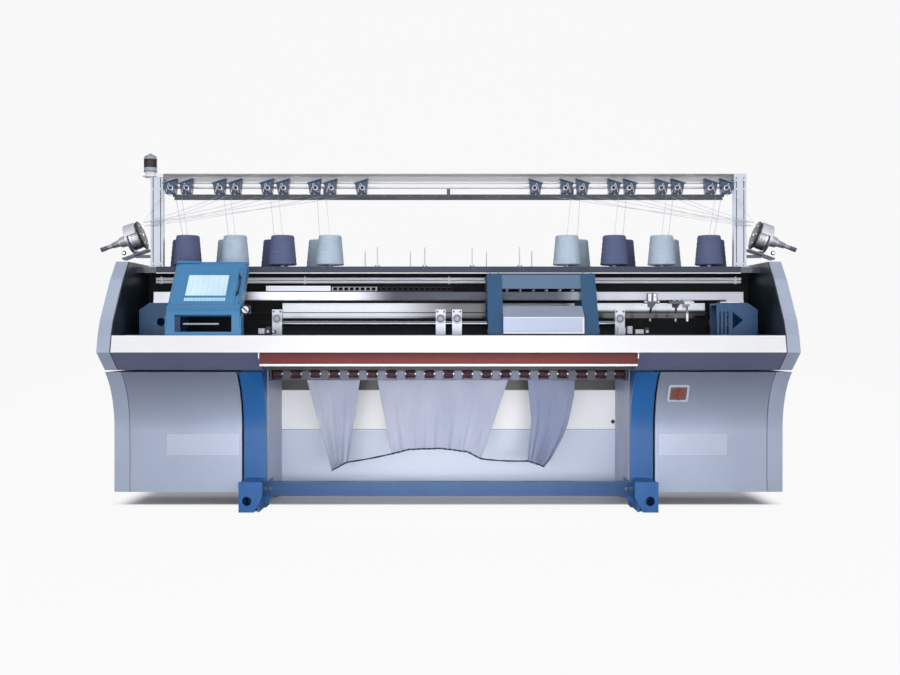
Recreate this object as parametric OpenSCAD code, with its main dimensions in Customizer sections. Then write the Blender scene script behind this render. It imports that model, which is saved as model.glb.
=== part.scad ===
// Flat knitting machine with a long bed: two stands, two cabinets, a hooded bed with a
// travelling carriage, a yarn table with cones, a thread rack and two storage feeders.
// Millimetres, +Z up, +X to the right seen from the front, and the front faces -Y.
// Sections are drawn in side view as [depth behind the nose of the front beam, height].

/* [Overall] */
// Length over the two end covers
body_l = 3800; // [3700:10:4100]
// Depth from the nose of the front beam to the back edge of the yarn table
body_d = 1060; // [1010:5:1150]
// Depth of the drive space between the inner panel and the rear covers
drive_space = 140; // [125:5:185]
// Thickness of the sheet-metal covers
sheet_t = 3; // [2:0.5:4]
// Height of the underside of the hood and of the bed girder
bed_z = 791; // [760:1:830]
// Clearance between pieces that slide on each other
slide_gap = 0.3; // [0.2:0.05:0.5]
// Radial clearance of a journal in its bore
run_gap = 0.05; // [0.02:0.01:0.1]
// Joint line between bolted pieces
bolt_gap = 0.05; // [0.02:0.01:0.1]

/* [Hood] */
// Height of the nose above the underside of the hood
nose_rise = 104; // [90:1:120]
// Height of the pale band of the front beam
band_h = 87; // [70:1:100]
// Depth by which the band leans back
band_lean = 23; // [10:1:40]
// Depth of the lower edge of the end cover's long slope
chin_d = 61; // [45:1:80]
// Height of that edge above the band
chin_h = 82; // [70:1:100]
// Depth of the upper edge of the long slope
brow_d = 247; // [230:1:260]
// Height of that edge above the lower one
brow_h = 233; // [220:1:250]
// Depth where the flat top of the end cover starts
crown_d = 360; // [340:1:380]
// Height of the flat top above the upper edge of the slope
crown_h = 108; // [100:1:120]
// Depth of the lower edge of the slanted skirt
skirt_d = 151; // [120:1:180]
// Width of the silver strip of an end cover
end_strip_w = 70; // [50:1:90]
// Thickness of the black liner inside an end cover
liner_t = 6; // [4:1:10]
// Distance of the black panel behind the bed from the girder's back
panel_space = 40; // [33:1:65]

/* [Cabinets] */
// Distance of a cabinet's front panel from the middle of the machine
panel_x = 1175; // [1170:1:1190]
// Height of the underside of the cabinets
cabinet_z = 93; // [60:1:120]
// Gap between a cabinet and the hood
hood_reveal = 11; // [6:1:20]
// Depth of the lower, upright part of the front panels
face_d = 327; // [300:1:350]
// Height where the front panels begin to flare forward
flare_z = 450; // [430:1:500]
// Radius of the flare
flare_r = 397; // [390:1:420]
// Width of the side cover's front strip
side_strip_w = 87; // [60:1:110]
// Seam between neighbouring panels
seam = 3; // [2:0.5:5]
// Depth of a panel's folded rim
rim_d = 20; // [12:1:30]

/* [Stands] */
// Distance of a stand's inner face from the middle of the machine
stand_x = 1037; // [1030:1:1060]
// Width of a stand
stand_w = 126; // [120:1:130]
// Plate thickness of a stand
stand_t = 14; // [10:1:18]
// Depth of the back of a stand
stand_back_d = 880; // [860:1:895]
// Depth of the front of the front feet
foot_d = 143; // [120:1:160]
// Height of the front feet
foot_h = 171; // [160:1:185]
// Width of a foot's front plate
foot_w = 130; // [110:1:132]
// Radius of the tie-down hole in a foot
foot_hole_r = 26; // [20:1:30]
// Height of a foot's lower edge above the floor
foot_lift = 4; // [3:1:8]
// Radius of a levelling pad
pad_r = 38; // [30:1:38]
// Height of the lower crossbeam
crossbeam_h = 80; // [70:1:90]
// Height of the crossbeam's lower edge
crossbeam_z = 70; // [60:1:80]

/* [Needle beds] */
// Working width of the needle beds
work_w = 2134; // [2000:1:2200]
// Depth of the gap between the two needle beds
gap_d = 470; // [465:1:475]
// Half of the gap between the beds
gap_half = 6; // [5:0.5:8]
// Height of the beds' upper edges above the girder's underside
apex_h = 269; // [260:1:280]
// Depth covered by each sloping bed
slope_run = 100; // [90:1:110]
// Thickness of a bed measured upright
slope_t = 31; // [24:1:36]
// Height of the bed girder's two beams
girder_h = 139; // [130:1:145]
// Depth of each of the girder's two beams
beam_d = 200; // [180:1:210]
// Wall of the girder's beams
beam_wall = 10; // [8:1:14]

/* [Carriage] */
// Rest position of the carriage along the bed
carriage_x = 531; // [-600:1:600]
// Length of the carriage over its two arms
carriage_l = 620; // [580:1:660]
// Width of an arm
arm_w = 85; // [70:1:95]
// Width of the guide rails
guide_w = 24; // [20:1:30]
// Distance of the rear guide rail's front from the girder's back
rear_guide_inset = 75; // [60:1:90]
// Height of the guide rails above the girder
guide_h = 56; // [50:1:62]
// Height of the top of the arms above the needle beds' edges
arm_top_h = 276; // [262:1:280]
// Depth of the carriage's front cover
cover_d = 190; // [180:1:200]
// Height of the cam boxes over the beds' surface
cam_h = 44; // [36:1:48]

/* [Cable chain] */
// Width of the chain's tray
tray_w = 73; // [60:1:76]
// Place of the chain's left end
chain_x = -705;
// Pitch of the chain's links
link = 33; // [28:1:36]

/* [Carrier rails] */
// Height of the lower edge of the carrier rails above the needle beds' edges
rail_h0 = 128; // [118:1:136]
// Height of a carrier rail
rail_h = 45; // [36:1:50]
// Thickness of a carrier rail
rail_t = 14; // [10:1:16]
// Spacing of the carrier rails
rail_pitch = 44; // [42:1:48]
// Distance of the rails' ends from the middle of the machine
rail_x = 1695; // [1650:1:1720]
// Distance of the end brackets' inner faces from the middle
bracket_x = 1540; // [1500:1:1570]
// Rest positions of the three yarn carriers
carrier_x = [1170, 1320, 1389];
// Length of a carrier's block along its rail
carrier_l = 60; // [44:1:66]
// Thickness of a carrier's finger
finger_t = 5; // [4:0.5:5.5]

/* [Take-down] */
// Diameter of the rubber take-down rollers
roller_dia = 50; // [44:1:54]
// Length of one rubber roller
roller_l = 50; // [40:1:60]
// Spacing of the rollers
roller_pitch = 110; // [100:1:112]
// Number of rollers each side of the middle one
roller_n = 9; // [7:1:9]
// Diameter of the press rollers
press_dia = 30; // [24:1:34]
// Height of the roller axis below the girder
roller_drop = 29; // [27:1:34]
// Thickness of the knitted pieces
fabric_t = 4; // [3:0.5:5]
// Distance of the left sleeve's outer edge from the middle, then of its tip and of its cuff's end
left_sleeve_x = 823;
left_tip_x = 678;
left_cuff_x = 585;
// Width of the left sleeve at the beds
left_sleeve_w = 308;
// Heights of its tip and of its cuff's end
left_tip_z = 196;
left_cuff_z = 248;
// Distances of the body's two edges from the middle, and the height of its hem
body_left_x = 413;
body_right_x = 346;
hem_z = 293;
// Distances of the right sleeve's two edges and of its tip from the middle, and the tip's height
right_sleeve_x = 734;
right_cuff_x = 457;
right_tip_x = 555;
right_tip_z = 218;

/* [Engaging bar] */
// Half length of the engaging bar
bar_half = 1022; // [1000:1:1024]
// Height of the bar
bar_h = 68; // [60:1:72]
// Depth of the bar
bar_d = 46; // [40:1:50]
// Radius of the bar's curved face
bar_r = 140; // [120:5:200]
// Radius of the bar's pivot pins
bar_pin_r = 6; // [5:0.5:7]

/* [Boards and drives] */

// Free depth for cables behind the mounting plates
cable_space = 120; // [100:5:140]
// Height of the mounting plates
board_h = 560; // [450:10:600]
// Thickness of the mounting plates
board_t = 6; // [4:0.5:8]
// Width of a board box and of a drive
board_w = 60; // [50:1:70]
// Spacing of the board boxes
board_pitch = 80; // [72:1:82]
// Depth of the board boxes and the power supply
board_deep = 240; // [180:5:250]
// Height of the board boxes
board_box_h = 420; // [350:5:450]
// Place of the power supply from the panel's edge
supply_x = 100; // [80:5:110]
// Width of the power supply
supply_w = 200; // [160:5:210]
// Height of the power supply
supply_h = 220; // [180:5:260]
// Depth of the drives
amp_deep = 160; // [120:5:200]
// Height of the drives
amp_h = 330; // [280:5:380]

/* [Bridge plate] */

// Depth of the bridge's lower front edge
bridge_d = 348; // [344:1:352]
// Depth of its slanted front
bridge_run = 52; // [44:1:60]
// Height of its slanted front
bridge_h = 86; // [78:1:92]
// Thickness of the bridge plate
bridge_t = 6; // [4:0.5:8]

/* [Yarn table and cones] */
// Height of the table's fascia
fascia_h = 41; // [36:1:46]
// Depth of the fascia
fascia_d = 500; // [495:1:510]
// Half length of the fascia
fascia_x = 1708; // [1690:1:1720]
// Free width between the outer front cone and the post
peg_clear = 65; // [50:1:100]
// Depth of the front row of pegs
front_row_d = 600; // [590:1:620]
// Depth of the rear row of pegs
rear_row_d = 900; // [850:1:940]
// Outward shift of the rear row
row_shift = 95; // [60:1:100]
// Diameter of a cone at its base
cone_base = 165; // [150:1:175]
// Diameter of a cone at its top
cone_top = 133; // [120:1:145]
// Height of a cone
cone_h = 175; // [150:1:190]
// Height of a peg above the table
peg_h = 120; // [90:1:140]

/* [Thread rack] */
// Distance of the posts' inner faces from the middle
post_x = 1693; // [1680:1:1700]
// Width of a post
post_w = 75; // [60:1:80]
// Depth of a post
post_t = 40; // [30:1:46]
// Depth of the posts' front faces
post_d = 600; // [595:1:620]
// Height of the top of the rack above the table
rack_h = 559; // [520:1:600]
// Diameter of the rack's tubes
tube_dia = 15; // [12:1:18]
// Width of a thread control unit
unit_w = 85; // [70:1:90]
// Distance of the four pairs of units from the middle
pair_x = [745, 1026, 1307, 1597];
// Distance of a unit from the middle of its pair
unit_shift = 47; // [45:1:50]
// Diameter of a yarn strand
yarn_dia = 2; // [1.5:0.1:3]

/* [Feeders] */
// Distance of a feeder's wheel from the middle of the machine
feeder_x = 1858; // [1850:1:1870]
// Height of a feeder's wheel above the table
feeder_h = 181; // [170:1:200]
// Downward tilt of a feeder's axis
feeder_tilt = 20; // [15:1:25]
// Radius of a feeder's wheel
wheel_r = 74; // [66:1:76]
// Length of a feeder from the wheel to its tip
feeder_reach = 222; // [200:1:230]

/* [Console] */
// Width of the console
console_w = 402; // [380:1:420]
// Distance of the console's right side from the middle of the machine
console_x = 1145; // [1130:1:1160]
// Thickness of the console
console_t = 70; // [60:1:72]
// Length of the console's face
console_l = 343; // [320:1:350]
// Lean of the console's face from upright
console_lean = 41.4; // [40:0.1:44]
// Depth of the console's pivot
pivot_d = 149; // [147:1:150]
// Height of the pivot above the front beam
pivot_h = 140; // [136:1:142]
// Radius of the pivot pins
pivot_r = 7; // [6:0.5:9]

/* [Hidden] */
$fn = 48;

blue = [0.12, 0.36, 0.6];
pale_blue = [0.3, 0.52, 0.72];
silver = [0.62, 0.67, 0.76];
steel = [0.78, 0.79, 0.82];
dark = [0.1, 0.11, 0.13];
pale = [0.9, 0.9, 0.92];
maroon = [0.42, 0.2, 0.17];
slate = [0.3, 0.38, 0.5];
lavender = [0.68, 0.7, 0.8];

// Depths worked out from the beds
front_beam_d = gap_d - 65 - beam_d;
mid_d = 2 * gap_d;
inner_panel_d = mid_d - front_beam_d + panel_space;
case_d = inner_panel_d + drive_space;

// Heights worked out from the hood
nose_z = bed_z + nose_rise;
band_z = nose_z + band_h;
chin_z = band_z + chin_h;
brow_z = chin_z + brow_h;
crown_z = brow_z + crown_h;
end_x = body_l / 2;
strip_x = end_x - end_strip_w;
liner_x = strip_x - liner_t;
hood = [[0, nose_z - 5], [skirt_d, bed_z], [case_d, bed_z], [case_d, crown_z - 65],
    [case_d - 80, crown_z + 5], [crown_d, crown_z], [brow_d, brow_z], [chin_d, chin_z],
    [band_lean, band_z], [0, nose_z]];

// Girder, needle beds and the height of their edges
girder_z = bed_z + girder_h;
apex_z = bed_z + apex_h;
edge_d = gap_d - gap_half;
guide_z = girder_z + guide_h;
arm_z = apex_z + arm_top_h;
rail_z = apex_z + rail_h0;

// Rod in front of the beds, with its clamp blocks
rod_d = 330;
rod_z = apex_z - 9;
rod_r = 15;
block_t = 36;
block_w = 55;
block_top = apex_z + 70;
block_x = [-973, -44.5, 48.5, 973];

// Table, rack and feeders
table_z = crown_z - 19;
cone_z = table_z + 14;
rack_z = table_z + rack_h;
wheel_z = table_z + feeder_h;
plate_z = rack_z - 138;
tube_z = rack_z - 82;
post_mid_d = post_d + post_t / 2;
post_mid_x = post_x + post_w / 2;
lamp_r = 39.5;

// Console
face_up = [sin(console_lean), cos(console_lean)];
face_out = [-cos(console_lean), sin(console_lean)];
pivot = [pivot_d, band_z + pivot_h];
console_mid = -console_x - console_w / 2;

// Engaging bar
bar_top = nose_z - 10;
bar_front = 4;
bar_pivot = [30, bar_top - 14];
recess_x = bar_half + 8;

// Take-down
roller_z = bed_z - roller_drop;
roller_d = gap_d - fabric_t / 2 - 0.4 - roller_dia / 2;
press_d = gap_d + fabric_t / 2 + 0.4 + press_dia / 2;

// Drive
pulley_x = 1640;
pulley_z = apex_z;
pulley_r = 60;
belt_d = inner_panel_d - 33;
belt_w = 20;
belt_t = 4;

// Main switch, on the flared face of the right panel
switch_x = 1293;
switch_a = 32;

function unit(v) = v / norm(v);
function left_of(v) = [-v[1], v[0]];
// Corner of an outline moved inwards by t, where a and c are its neighbours
function moved(a, b, c, t) = let(m = left_of(unit(b - a)), n = left_of(unit(c - b)))
    b + t * (m + n) / (1 + m * n);
// Closed outline, drawn anticlockwise, moved inwards by t
function inset(p, t) = let(n = len(p))
    [for (i = [0:n - 1]) moved(p[(i + n - 1) % n], p[i], p[(i + 1) % n], t)];
// Open line moved to its left by t
function beside(p, t) = let(n = len(p)) [for (i = [0:n - 1])
    moved(i > 0 ? p[i - 1] : 2 * p[0] - p[1], p[i], i < n - 1 ? p[i + 1] : 2 * p[i] - p[i - 1], t)];
// Folded sheet of thickness t along an open line
function folded(p, t) = let(q = beside(p, t)) concat(p, [for (i = [len(q) - 1:-1:0]) q[i]]);
function mirrored(p) = [for (q = p) [mid_d - q[0], q[1]]];

// A section extruded from x0 to x1 along the machine
module along_x(x0, x1) translate([x0, 0, 0]) rotate([90, 0, 90]) linear_extrude(x1 - x0) children();
// A front view extruded from depth d0 to d1
module along_d(d0, d1) translate([0, d1, 0]) rotate([90, 0, 0]) linear_extrude(d1 - d0) children();
module rod_x(x0, x1, d, z, r) translate([x0, d, z]) rotate([0, 90, 0]) cylinder(h = x1 - x0, r = r);
module rod_d(d0, d1, x, z, r) translate([x, d1, z]) rotate([90, 0, 0]) cylinder(h = d1 - d0, r = r);
module box(lo, hi) translate(lo) cube(hi - lo);
module both_sides() {
    children();
    mirror([1, 0, 0]) children();
}
// Depths become Y, with the machine centred on its depth
module placed() translate([0, -body_d / 2, 0]) children();
// Straight yarn between two points
module strand(p, q) {
    v = q - p;
    translate(p) rotate([0, acos(v[2] / norm(v)), atan2(v[1], v[0])])
        cylinder(h = norm(v), r = yarn_dia / 2, $fn = 8);
}

// Side view of a cabinet, its front moved in by f and its other edges by t
module cabinet_profile(f, t) {
    top = bed_z - hood_reveal - t;
    difference() {
        translate([0, cabinet_z + t]) square([case_d - t, top - cabinet_z - t]);
        translate([face_d - flare_r, flare_z]) circle(flare_r + f, $fn = 120);
        translate([-1, cabinet_z - 50]) square([face_d + f + 1, flare_z - cabinet_z + 50]);
    }
}

module stand_profile(t) {
    top = bed_z - hood_reveal - t;
    difference() {
        translate([0, foot_lift + t]) square([stand_back_d - t, top - foot_lift - t]);
        translate([face_d - flare_r, flare_z]) circle(flare_r + t, $fn = 120);
        translate([-1, -1]) square([face_d + t + 1, flare_z + 1]);
    }
}

module stand() {
    web_x = stand_x + stand_t;
    outer_x = stand_x + stand_w;
    box_x0 = stand_x + 11;
    box_x1 = outer_x - 13;
    arch_h = 58;
    shelf_z = 160;
    along_x(stand_x, outer_x) difference() {
        union() {
            stand_profile(0);
            translate([front_beam_d + 35, foot_h]) square([stand_back_d - front_beam_d - 35, bed_z - foot_h]);
        }
        translate([face_d + 100, 0]) square([stand_back_d - face_d - 220, foot_lift + arch_h]);
        translate([face_d - flare_r, flare_z]) circle(flare_r, $fn = 120);
        translate([-1, -1]) square([face_d + 1, flare_z + 1]);
    }
}

module stand_pockets() {
    outer_x = stand_x + stand_w;
    along_x(stand_x + stand_t, outer_x + 1) intersection() {
        stand_profile(stand_t);
        translate([0, foot_h + stand_t]) square([stand_back_d, bed_z]);
    }
    along_x(stand_x + stand_t, outer_x + 1)
        translate([face_d + stand_t, 76]) square([stand_back_d - face_d - 2 * stand_t, foot_h - 90]);
}

module foot_plate() {
    x0 = stand_x - 7;
    cut_w = 46;
    cut_h = 87;
    along_d(foot_d, foot_d + 15) difference() {
        polygon([[x0 + cut_w, foot_lift], [x0 + foot_w, foot_lift], [x0 + foot_w, foot_h],
            [x0, foot_h], [x0, foot_lift + cut_h]]);
        translate([x0 + foot_w - 46, foot_lift + 62]) circle(foot_hole_r);
    }
}

foot_x = stand_x + 62;
front_pad_d = foot_d + 92;
rear_pad_d = stand_back_d + 40;
pad_h = 12;
screw_r = 10;

module foot_box(d0, d1, h, open_d0, open_d1) {
    x0 = stand_x + 11;
    x1 = stand_x + stand_w - 13;
    difference() {
        box([x0, d0, foot_lift], [x1, d1, h]);
        box([x0 + 10, d0 + open_d0, foot_lift - 1], [x1 - 10, d1 - open_d1, h - 12]);
    }
}

module screw_shelf(d0, d1, mid, z) {
    x0 = stand_x + 11;
    x1 = stand_x + stand_w - 13;
    difference() {
        box([x0 + 9, d0, z], [x1 - 9, d1, z + 12]);
        translate([foot_x, mid, z - 1]) cylinder(h = 14, r = screw_r + 0.5);
    }
}

module stands() color(blue) placed() both_sides() {
    difference() {
        stand();
        stand_pockets();
    }
    foot_plate();
    foot_box(foot_d + 15, face_d, foot_h, -1, -1);
    screw_shelf(foot_d + 15, face_d, front_pad_d, 100);
    foot_box(stand_back_d, rear_pad_d + 50, 130, 0, 10);
    screw_shelf(stand_back_d, rear_pad_d + 45, rear_pad_d, 80);
    // Gusset under the crossbeam
    along_d(face_d, face_d + 12)
        polygon([[stand_x - 38, crossbeam_z - 0.5], [stand_x, crossbeam_z - 36], [stand_x, crossbeam_z - 0.5]]);
}

module levelling_foot(d, shelf) {
    translate([foot_x, d, 0]) {
        cylinder(h = pad_h, r = pad_r);
        cylinder(h = shelf + 36, r = screw_r);
        translate([0, 0, shelf - 16]) cylinder(h = 16, r = 18, $fn = 6);
        translate([0, 0, shelf + 12]) cylinder(h = 12, r = 18, $fn = 6);
    }
}

module levelling_feet() color(steel) placed() both_sides() {
    levelling_foot(front_pad_d, 100);
    levelling_foot(rear_pad_d, 80);
}

module lower_crossbeam() color(blue) placed() {
    web_t = 6;
    lap = stand_x + 10.5;
    top = crossbeam_z + crossbeam_h;
    difference() {
        union() {
            box([-lap, face_d - web_t, crossbeam_z], [lap, face_d, top]);
            along_x(-stand_x, stand_x)
                polygon(folded([[face_d + 50, top], [face_d, top], [face_d, crossbeam_z],
                    [face_d + 50, crossbeam_z]], web_t));
        }
        for (side = [-1, 1], x = [stand_x - 25, stand_x + 4])
            rod_d(face_d - web_t - 1, face_d + web_t + 1, side * x, crossbeam_z + crossbeam_h / 2, 5.5);
    }
}

module beam_section(d0) difference() {
    translate([d0, bed_z]) square([beam_d, girder_h]);
    translate([d0 + beam_wall, bed_z + beam_wall]) square([beam_d - 2 * beam_wall, girder_h - 2 * beam_wall]);
}

// Wedge that carries the front needle bed
wedge = [[front_beam_d + beam_d - 35, girder_z + bolt_gap], [front_beam_d + beam_d, girder_z + bolt_gap],
    [edge_d - 1, girder_z + 60], [edge_d - 1, apex_z - slope_t - 1],
    [edge_d - slope_run + slope_t / 2, apex_z - slope_run - slope_t / 2]];

module bed_girder() color(dark) placed() {
    along_x(-liner_x, liner_x) {
        beam_section(front_beam_d);
        beam_section(mid_d - front_beam_d - beam_d);
    }
    along_x(-work_w / 2, work_w / 2) {
        polygon(wedge);
        polygon(mirrored(wedge));
    }
    for (x = [work_w / 2 + 20, liner_x - 34]) both_sides()
        box([x, front_beam_d + beam_d + bolt_gap, bed_z], [x + 20, mid_d - front_beam_d - beam_d - bolt_gap, girder_z]);
}

guide_d = front_beam_d + 7;
rear_guide_d = mid_d - front_beam_d - rear_guide_inset;

module carriage_rails() color(steel) placed() for (d = [guide_d, rear_guide_d])
    box([-liner_x + 20, d, girder_z], [liner_x - 20, d + guide_w, guide_z]);

bed_slab = [[edge_d - slope_run, apex_z - slope_run], [edge_d - slope_run + slope_t / 2, apex_z - slope_run - slope_t / 2],
    [edge_d, apex_z - slope_t], [edge_d, apex_z]];

module front_needle_bed() color(steel) placed() along_x(-work_w / 2, work_w / 2) polygon(bed_slab);

module rear_needle_bed() color(steel) placed() translate([0, 0, slide_gap])
    along_x(-work_w / 2, work_w / 2) polygon(mirrored(bed_slab));

seat_z = rail_z - 18;

// End bracket that carries the rails: a slotted front plate, a rear plate and a top
module rail_bracket(slotted) {
    x1 = bracket_x + 235;
    d0 = gap_d - 2 * rail_pitch + 3;
    d1 = gap_d + 2 * rail_pitch - 3;
    for (d = [d0, d1 - 12]) along_d(d, d + 12) difference() {
        polygon([[bracket_x, girder_z], [x1, girder_z], [x1, seat_z - 40], [x1 - 60, seat_z], [bracket_x, seat_z]]);
        if (slotted && d == d0) {
            for (i = [0:2]) translate([bracket_x + 14 + 22 * i, girder_z + 60]) square([10, 130]);
            polygon([[bracket_x + 90, seat_z - 150], [bracket_x + 90, seat_z - 50], [bracket_x + 150, seat_z - 100]]);
        } else translate([bracket_x + 110, seat_z - 110]) circle(24);
    }
    box([bracket_x, d0, seat_z - 12], [x1 - 60, d1, seat_z]);
    box([x1 - 12, d0, girder_z], [x1, d1, seat_z - 45]);
}

module rail_brackets() color(blue) placed() {
    rail_bracket(true);
    mirror([1, 0, 0]) rail_bracket(false);
}

rail_ds = [for (i = [-1.5:1:1.5]) gap_d + i * rail_pitch];

module carrier_rails() color(steel) placed() {
    for (d = rail_ds) box([-rail_x, d - rail_t / 2, rail_z], [rail_x, d + rail_t / 2, rail_z + rail_h]);
    both_sides() box([rail_x - 100, rail_ds[0] - rail_t, seat_z], [rail_x, rail_ds[3] + rail_t, rail_z]);
}

module front_rod() color(pale) placed() {
    rod_x(block_x[0], block_x[3], rod_d, rod_z, rod_r);
    for (x = block_x) {
        box([x - block_w / 2, rod_d - block_t / 2, girder_z], [x + block_w / 2, rod_d + block_t / 2, block_top]);
        rod_d(rod_d - block_t / 2 - 6, rod_d - block_t / 2, x, apex_z + 18, 27);
    }
}

module front_band() color(pale) placed() along_x(-liner_x, liner_x)
    polygon(folded([[front_beam_d, girder_z - 25], [front_beam_d, band_z], [band_lean, band_z], [0, nose_z]], sheet_t));

recess = [[0, nose_z - 4], [75, nose_z - 4], [120, bed_z + 21], [front_beam_d, bed_z + 21]];

module front_skirts() color(slate) placed() {
    both_sides() {
        along_x(recess_x, liner_x)
            polygon(folded([hood[0], hood[1], [front_beam_d, bed_z], [front_beam_d, bed_z + 40]], sheet_t));
        along_x(recess_x, recess_x + sheet_t)
            polygon(concat(beside(recess, sheet_t), [[front_beam_d, bed_z], hood[1], hood[0]]));
    }
    along_x(-recess_x, recess_x) polygon(folded(concat(recess, [[front_beam_d, bed_z + 60]]), sheet_t));
}

module end_covers() color(silver) placed() both_sides() {
    difference() {
        along_x(strip_x, end_x) polygon(hood);
        along_x(strip_x - 1, end_x - sheet_t) polygon(inset(hood, sheet_t));
    }
    difference() {
        along_x(end_x - side_strip_w, end_x) cabinet_profile(0, 0);
        along_x(end_x - side_strip_w - 1, end_x - sheet_t) cabinet_profile(sheet_t, sheet_t);
    }
}

module end_liners() color(dark) placed() both_sides() along_x(liner_x, strip_x) polygon(inset(hood, sheet_t - 1));

module rear_cover() color(silver) placed() along_x(-liner_x, liner_x)
    polygon(folded([[mid_d - front_beam_d, bed_z], [case_d, bed_z], [case_d, table_z - fascia_h],
        [case_d - 50, table_z - fascia_h]], sheet_t));

panel_top = table_z - sheet_t;

module rear_inner_panel() color(dark) placed() {
    difference() {
        box([-liner_x, inner_panel_d, bed_z + sheet_t], [liner_x, inner_panel_d + sheet_t, panel_top]);
        both_sides() rod_d(inner_panel_d - 1, inner_panel_d + sheet_t + 1, pulley_x, pulley_z, 18);
    }
    // Pale strip that lights the back of the beds
    box([-1010, inner_panel_d - sheet_t, apex_z + 28], [1560, inner_panel_d, apex_z + 120]);
}

tray_z = apex_z + 187;
tray_d = inner_panel_d - tray_w;
upper_rod_d = tray_d + 13;

module cable_chain() color(dark) placed() {
    chain_d = tray_d + 5;
    box([-rail_x, tray_d, tray_z], [40, inner_panel_d, tray_z + sheet_t]);
    box([chain_x - 395, tray_d, tray_z + sheet_t], [chain_x - 4, tray_d + sheet_t, tray_z + 36]);
    difference() {
        box([chain_x, chain_d, tray_z + sheet_t], [chain_x + 22 * link, chain_d + 26, tray_z + 31]);
        for (i = [0:21]) translate([chain_x + i * link, chain_d, tray_z])
            box([6, -1, 9], [link - 6, 27, 25]);
    }
}

carcass_x = end_x - side_strip_w;

module cabinets() color(silver) placed() both_sides() difference() {
    along_x(stand_x + stand_w, carcass_x) cabinet_profile(rim_d, 0);
    along_x(stand_x + stand_w + sheet_t, carcass_x + 1) cabinet_profile(-60, sheet_t);
}

module front_panels() color(silver) placed() both_sides() difference() {
    along_x(panel_x, carcass_x - seam) cabinet_profile(0, 0);
    along_x(panel_x + sheet_t, carcass_x - seam - sheet_t) cabinet_profile(sheet_t, sheet_t);
    along_x(panel_x - 1, carcass_x) cabinet_profile(rim_d, -1);
}

module control_electronics() color(steel) placed() {
    floor_z = cabinet_z + sheet_t;
    plate_d = case_d - cable_space;
    both_sides() box([panel_x + board_w, plate_d, floor_z], [carcass_x - board_w, plate_d + board_t, floor_z + board_h]);
    for (i = [0:4]) translate([-panel_x - 3 * board_w - i * board_pitch, 0, 0])
        box([0, plate_d - board_deep, floor_z], [board_w, plate_d, floor_z + board_box_h]);
    box([panel_x + supply_x, plate_d - board_deep, floor_z], [panel_x + supply_x + supply_w, plate_d, floor_z + supply_h]);
    for (i = [0:2]) translate([panel_x + supply_x + supply_w + 40 + i * (board_w + 15), 0, 0])
        box([0, plate_d - amp_deep, floor_z], [board_w, plate_d, floor_z + amp_h]);
}

// Local frame on the flared face: x along the machine, z out of the panel
module on_switch_face() translate([switch_x, face_d - flare_r + flare_r * cos(switch_a), flare_z + flare_r * sin(switch_a)])
    rotate([90 + switch_a, 0, 0]) children();

plate_h = 112;
// Height of the plate's back over the hollow of the flare, where its two edges seat
plate_seat = flare_r - sqrt(flare_r * flare_r - plate_h * plate_h / 4) + 0.3;

module main_switch_plate() color(pale) placed() on_switch_face() difference() {
    translate([-59, -plate_h / 2, plate_seat]) cube([118, plate_h, 7]);
    cylinder(h = 40, r = 8 + run_gap, center = true);
    translate([-47, -44, plate_seat + 4]) cube([94, 88, 4]);
}

module main_switch_knob() color("orangered") placed() on_switch_face() {
    translate([0, 0, 1]) cylinder(h = 20, r = 8);
    translate([0, 0, plate_seat + 4.5]) cylinder(h = 10, r = 33);
    translate([-7, -32, plate_seat + 14]) cube([14, 64, 14]);
}

module bar_section(t) intersection() {
    translate([bar_front + bar_r, bar_top - bar_h / 2]) circle(bar_r - t, $fn = 160);
    translate([bar_front, bar_top - bar_h + t]) square([bar_d + (t > 0 ? 10 : 0), bar_h - 2 * t]);
}

module engaging_bar() color(maroon) placed() {
    difference() {
        along_x(-bar_half, bar_half) {
            difference() {
                bar_section(0);
                bar_section(3);
            }
            translate(bar_pivot) circle(bar_pin_r + 5.5);
        }
        rod_x(-bar_half - 1, bar_half + 1, bar_pivot[0], bar_pivot[1], bar_pin_r + run_gap);
    }
    for (side = [-1, 1]) translate([side * 591, 0, 0])
        box([-5, bar_front + 16, bar_top - bar_h - 14], [5, bar_front + 26, bar_top - bar_h + 3]);
}

module bar_brackets() color(steel) placed() both_sides() {
    along_x(bar_half + 2, recess_x) translate([bar_pivot[0] - 14, bar_pivot[1] - 14])
        square([28, nose_z - 4 - bar_pivot[1] + 14]);
    rod_x(bar_half - 40, recess_x, bar_pivot[0], bar_pivot[1], bar_pin_r);
}

bearing_x = stand_x - 21;
journal_r = 8;

module take_down_roller() color(maroon) placed() {
    rod_x(-bearing_x + 2, bearing_x - 2, roller_d, roller_z, 11);
    rod_x(-bearing_x - 8, bearing_x + 8, roller_d, roller_z, journal_r);
    for (i = [-roller_n:roller_n])
        rod_x(i * roller_pitch - roller_l / 2, i * roller_pitch + roller_l / 2, roller_d, roller_z, roller_dia / 2);
}

module press_rollers() color(dark) placed() {
    rod_x(-bearing_x + 2, bearing_x - 2, press_d, roller_z, 8);
    rod_x(-bearing_x - 8, bearing_x + 8, press_d, roller_z, 5);
    for (i = [-roller_n:roller_n])
        rod_x(i * roller_pitch - roller_l / 2, i * roller_pitch + roller_l / 2, press_d, roller_z, press_dia / 2);
}

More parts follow.
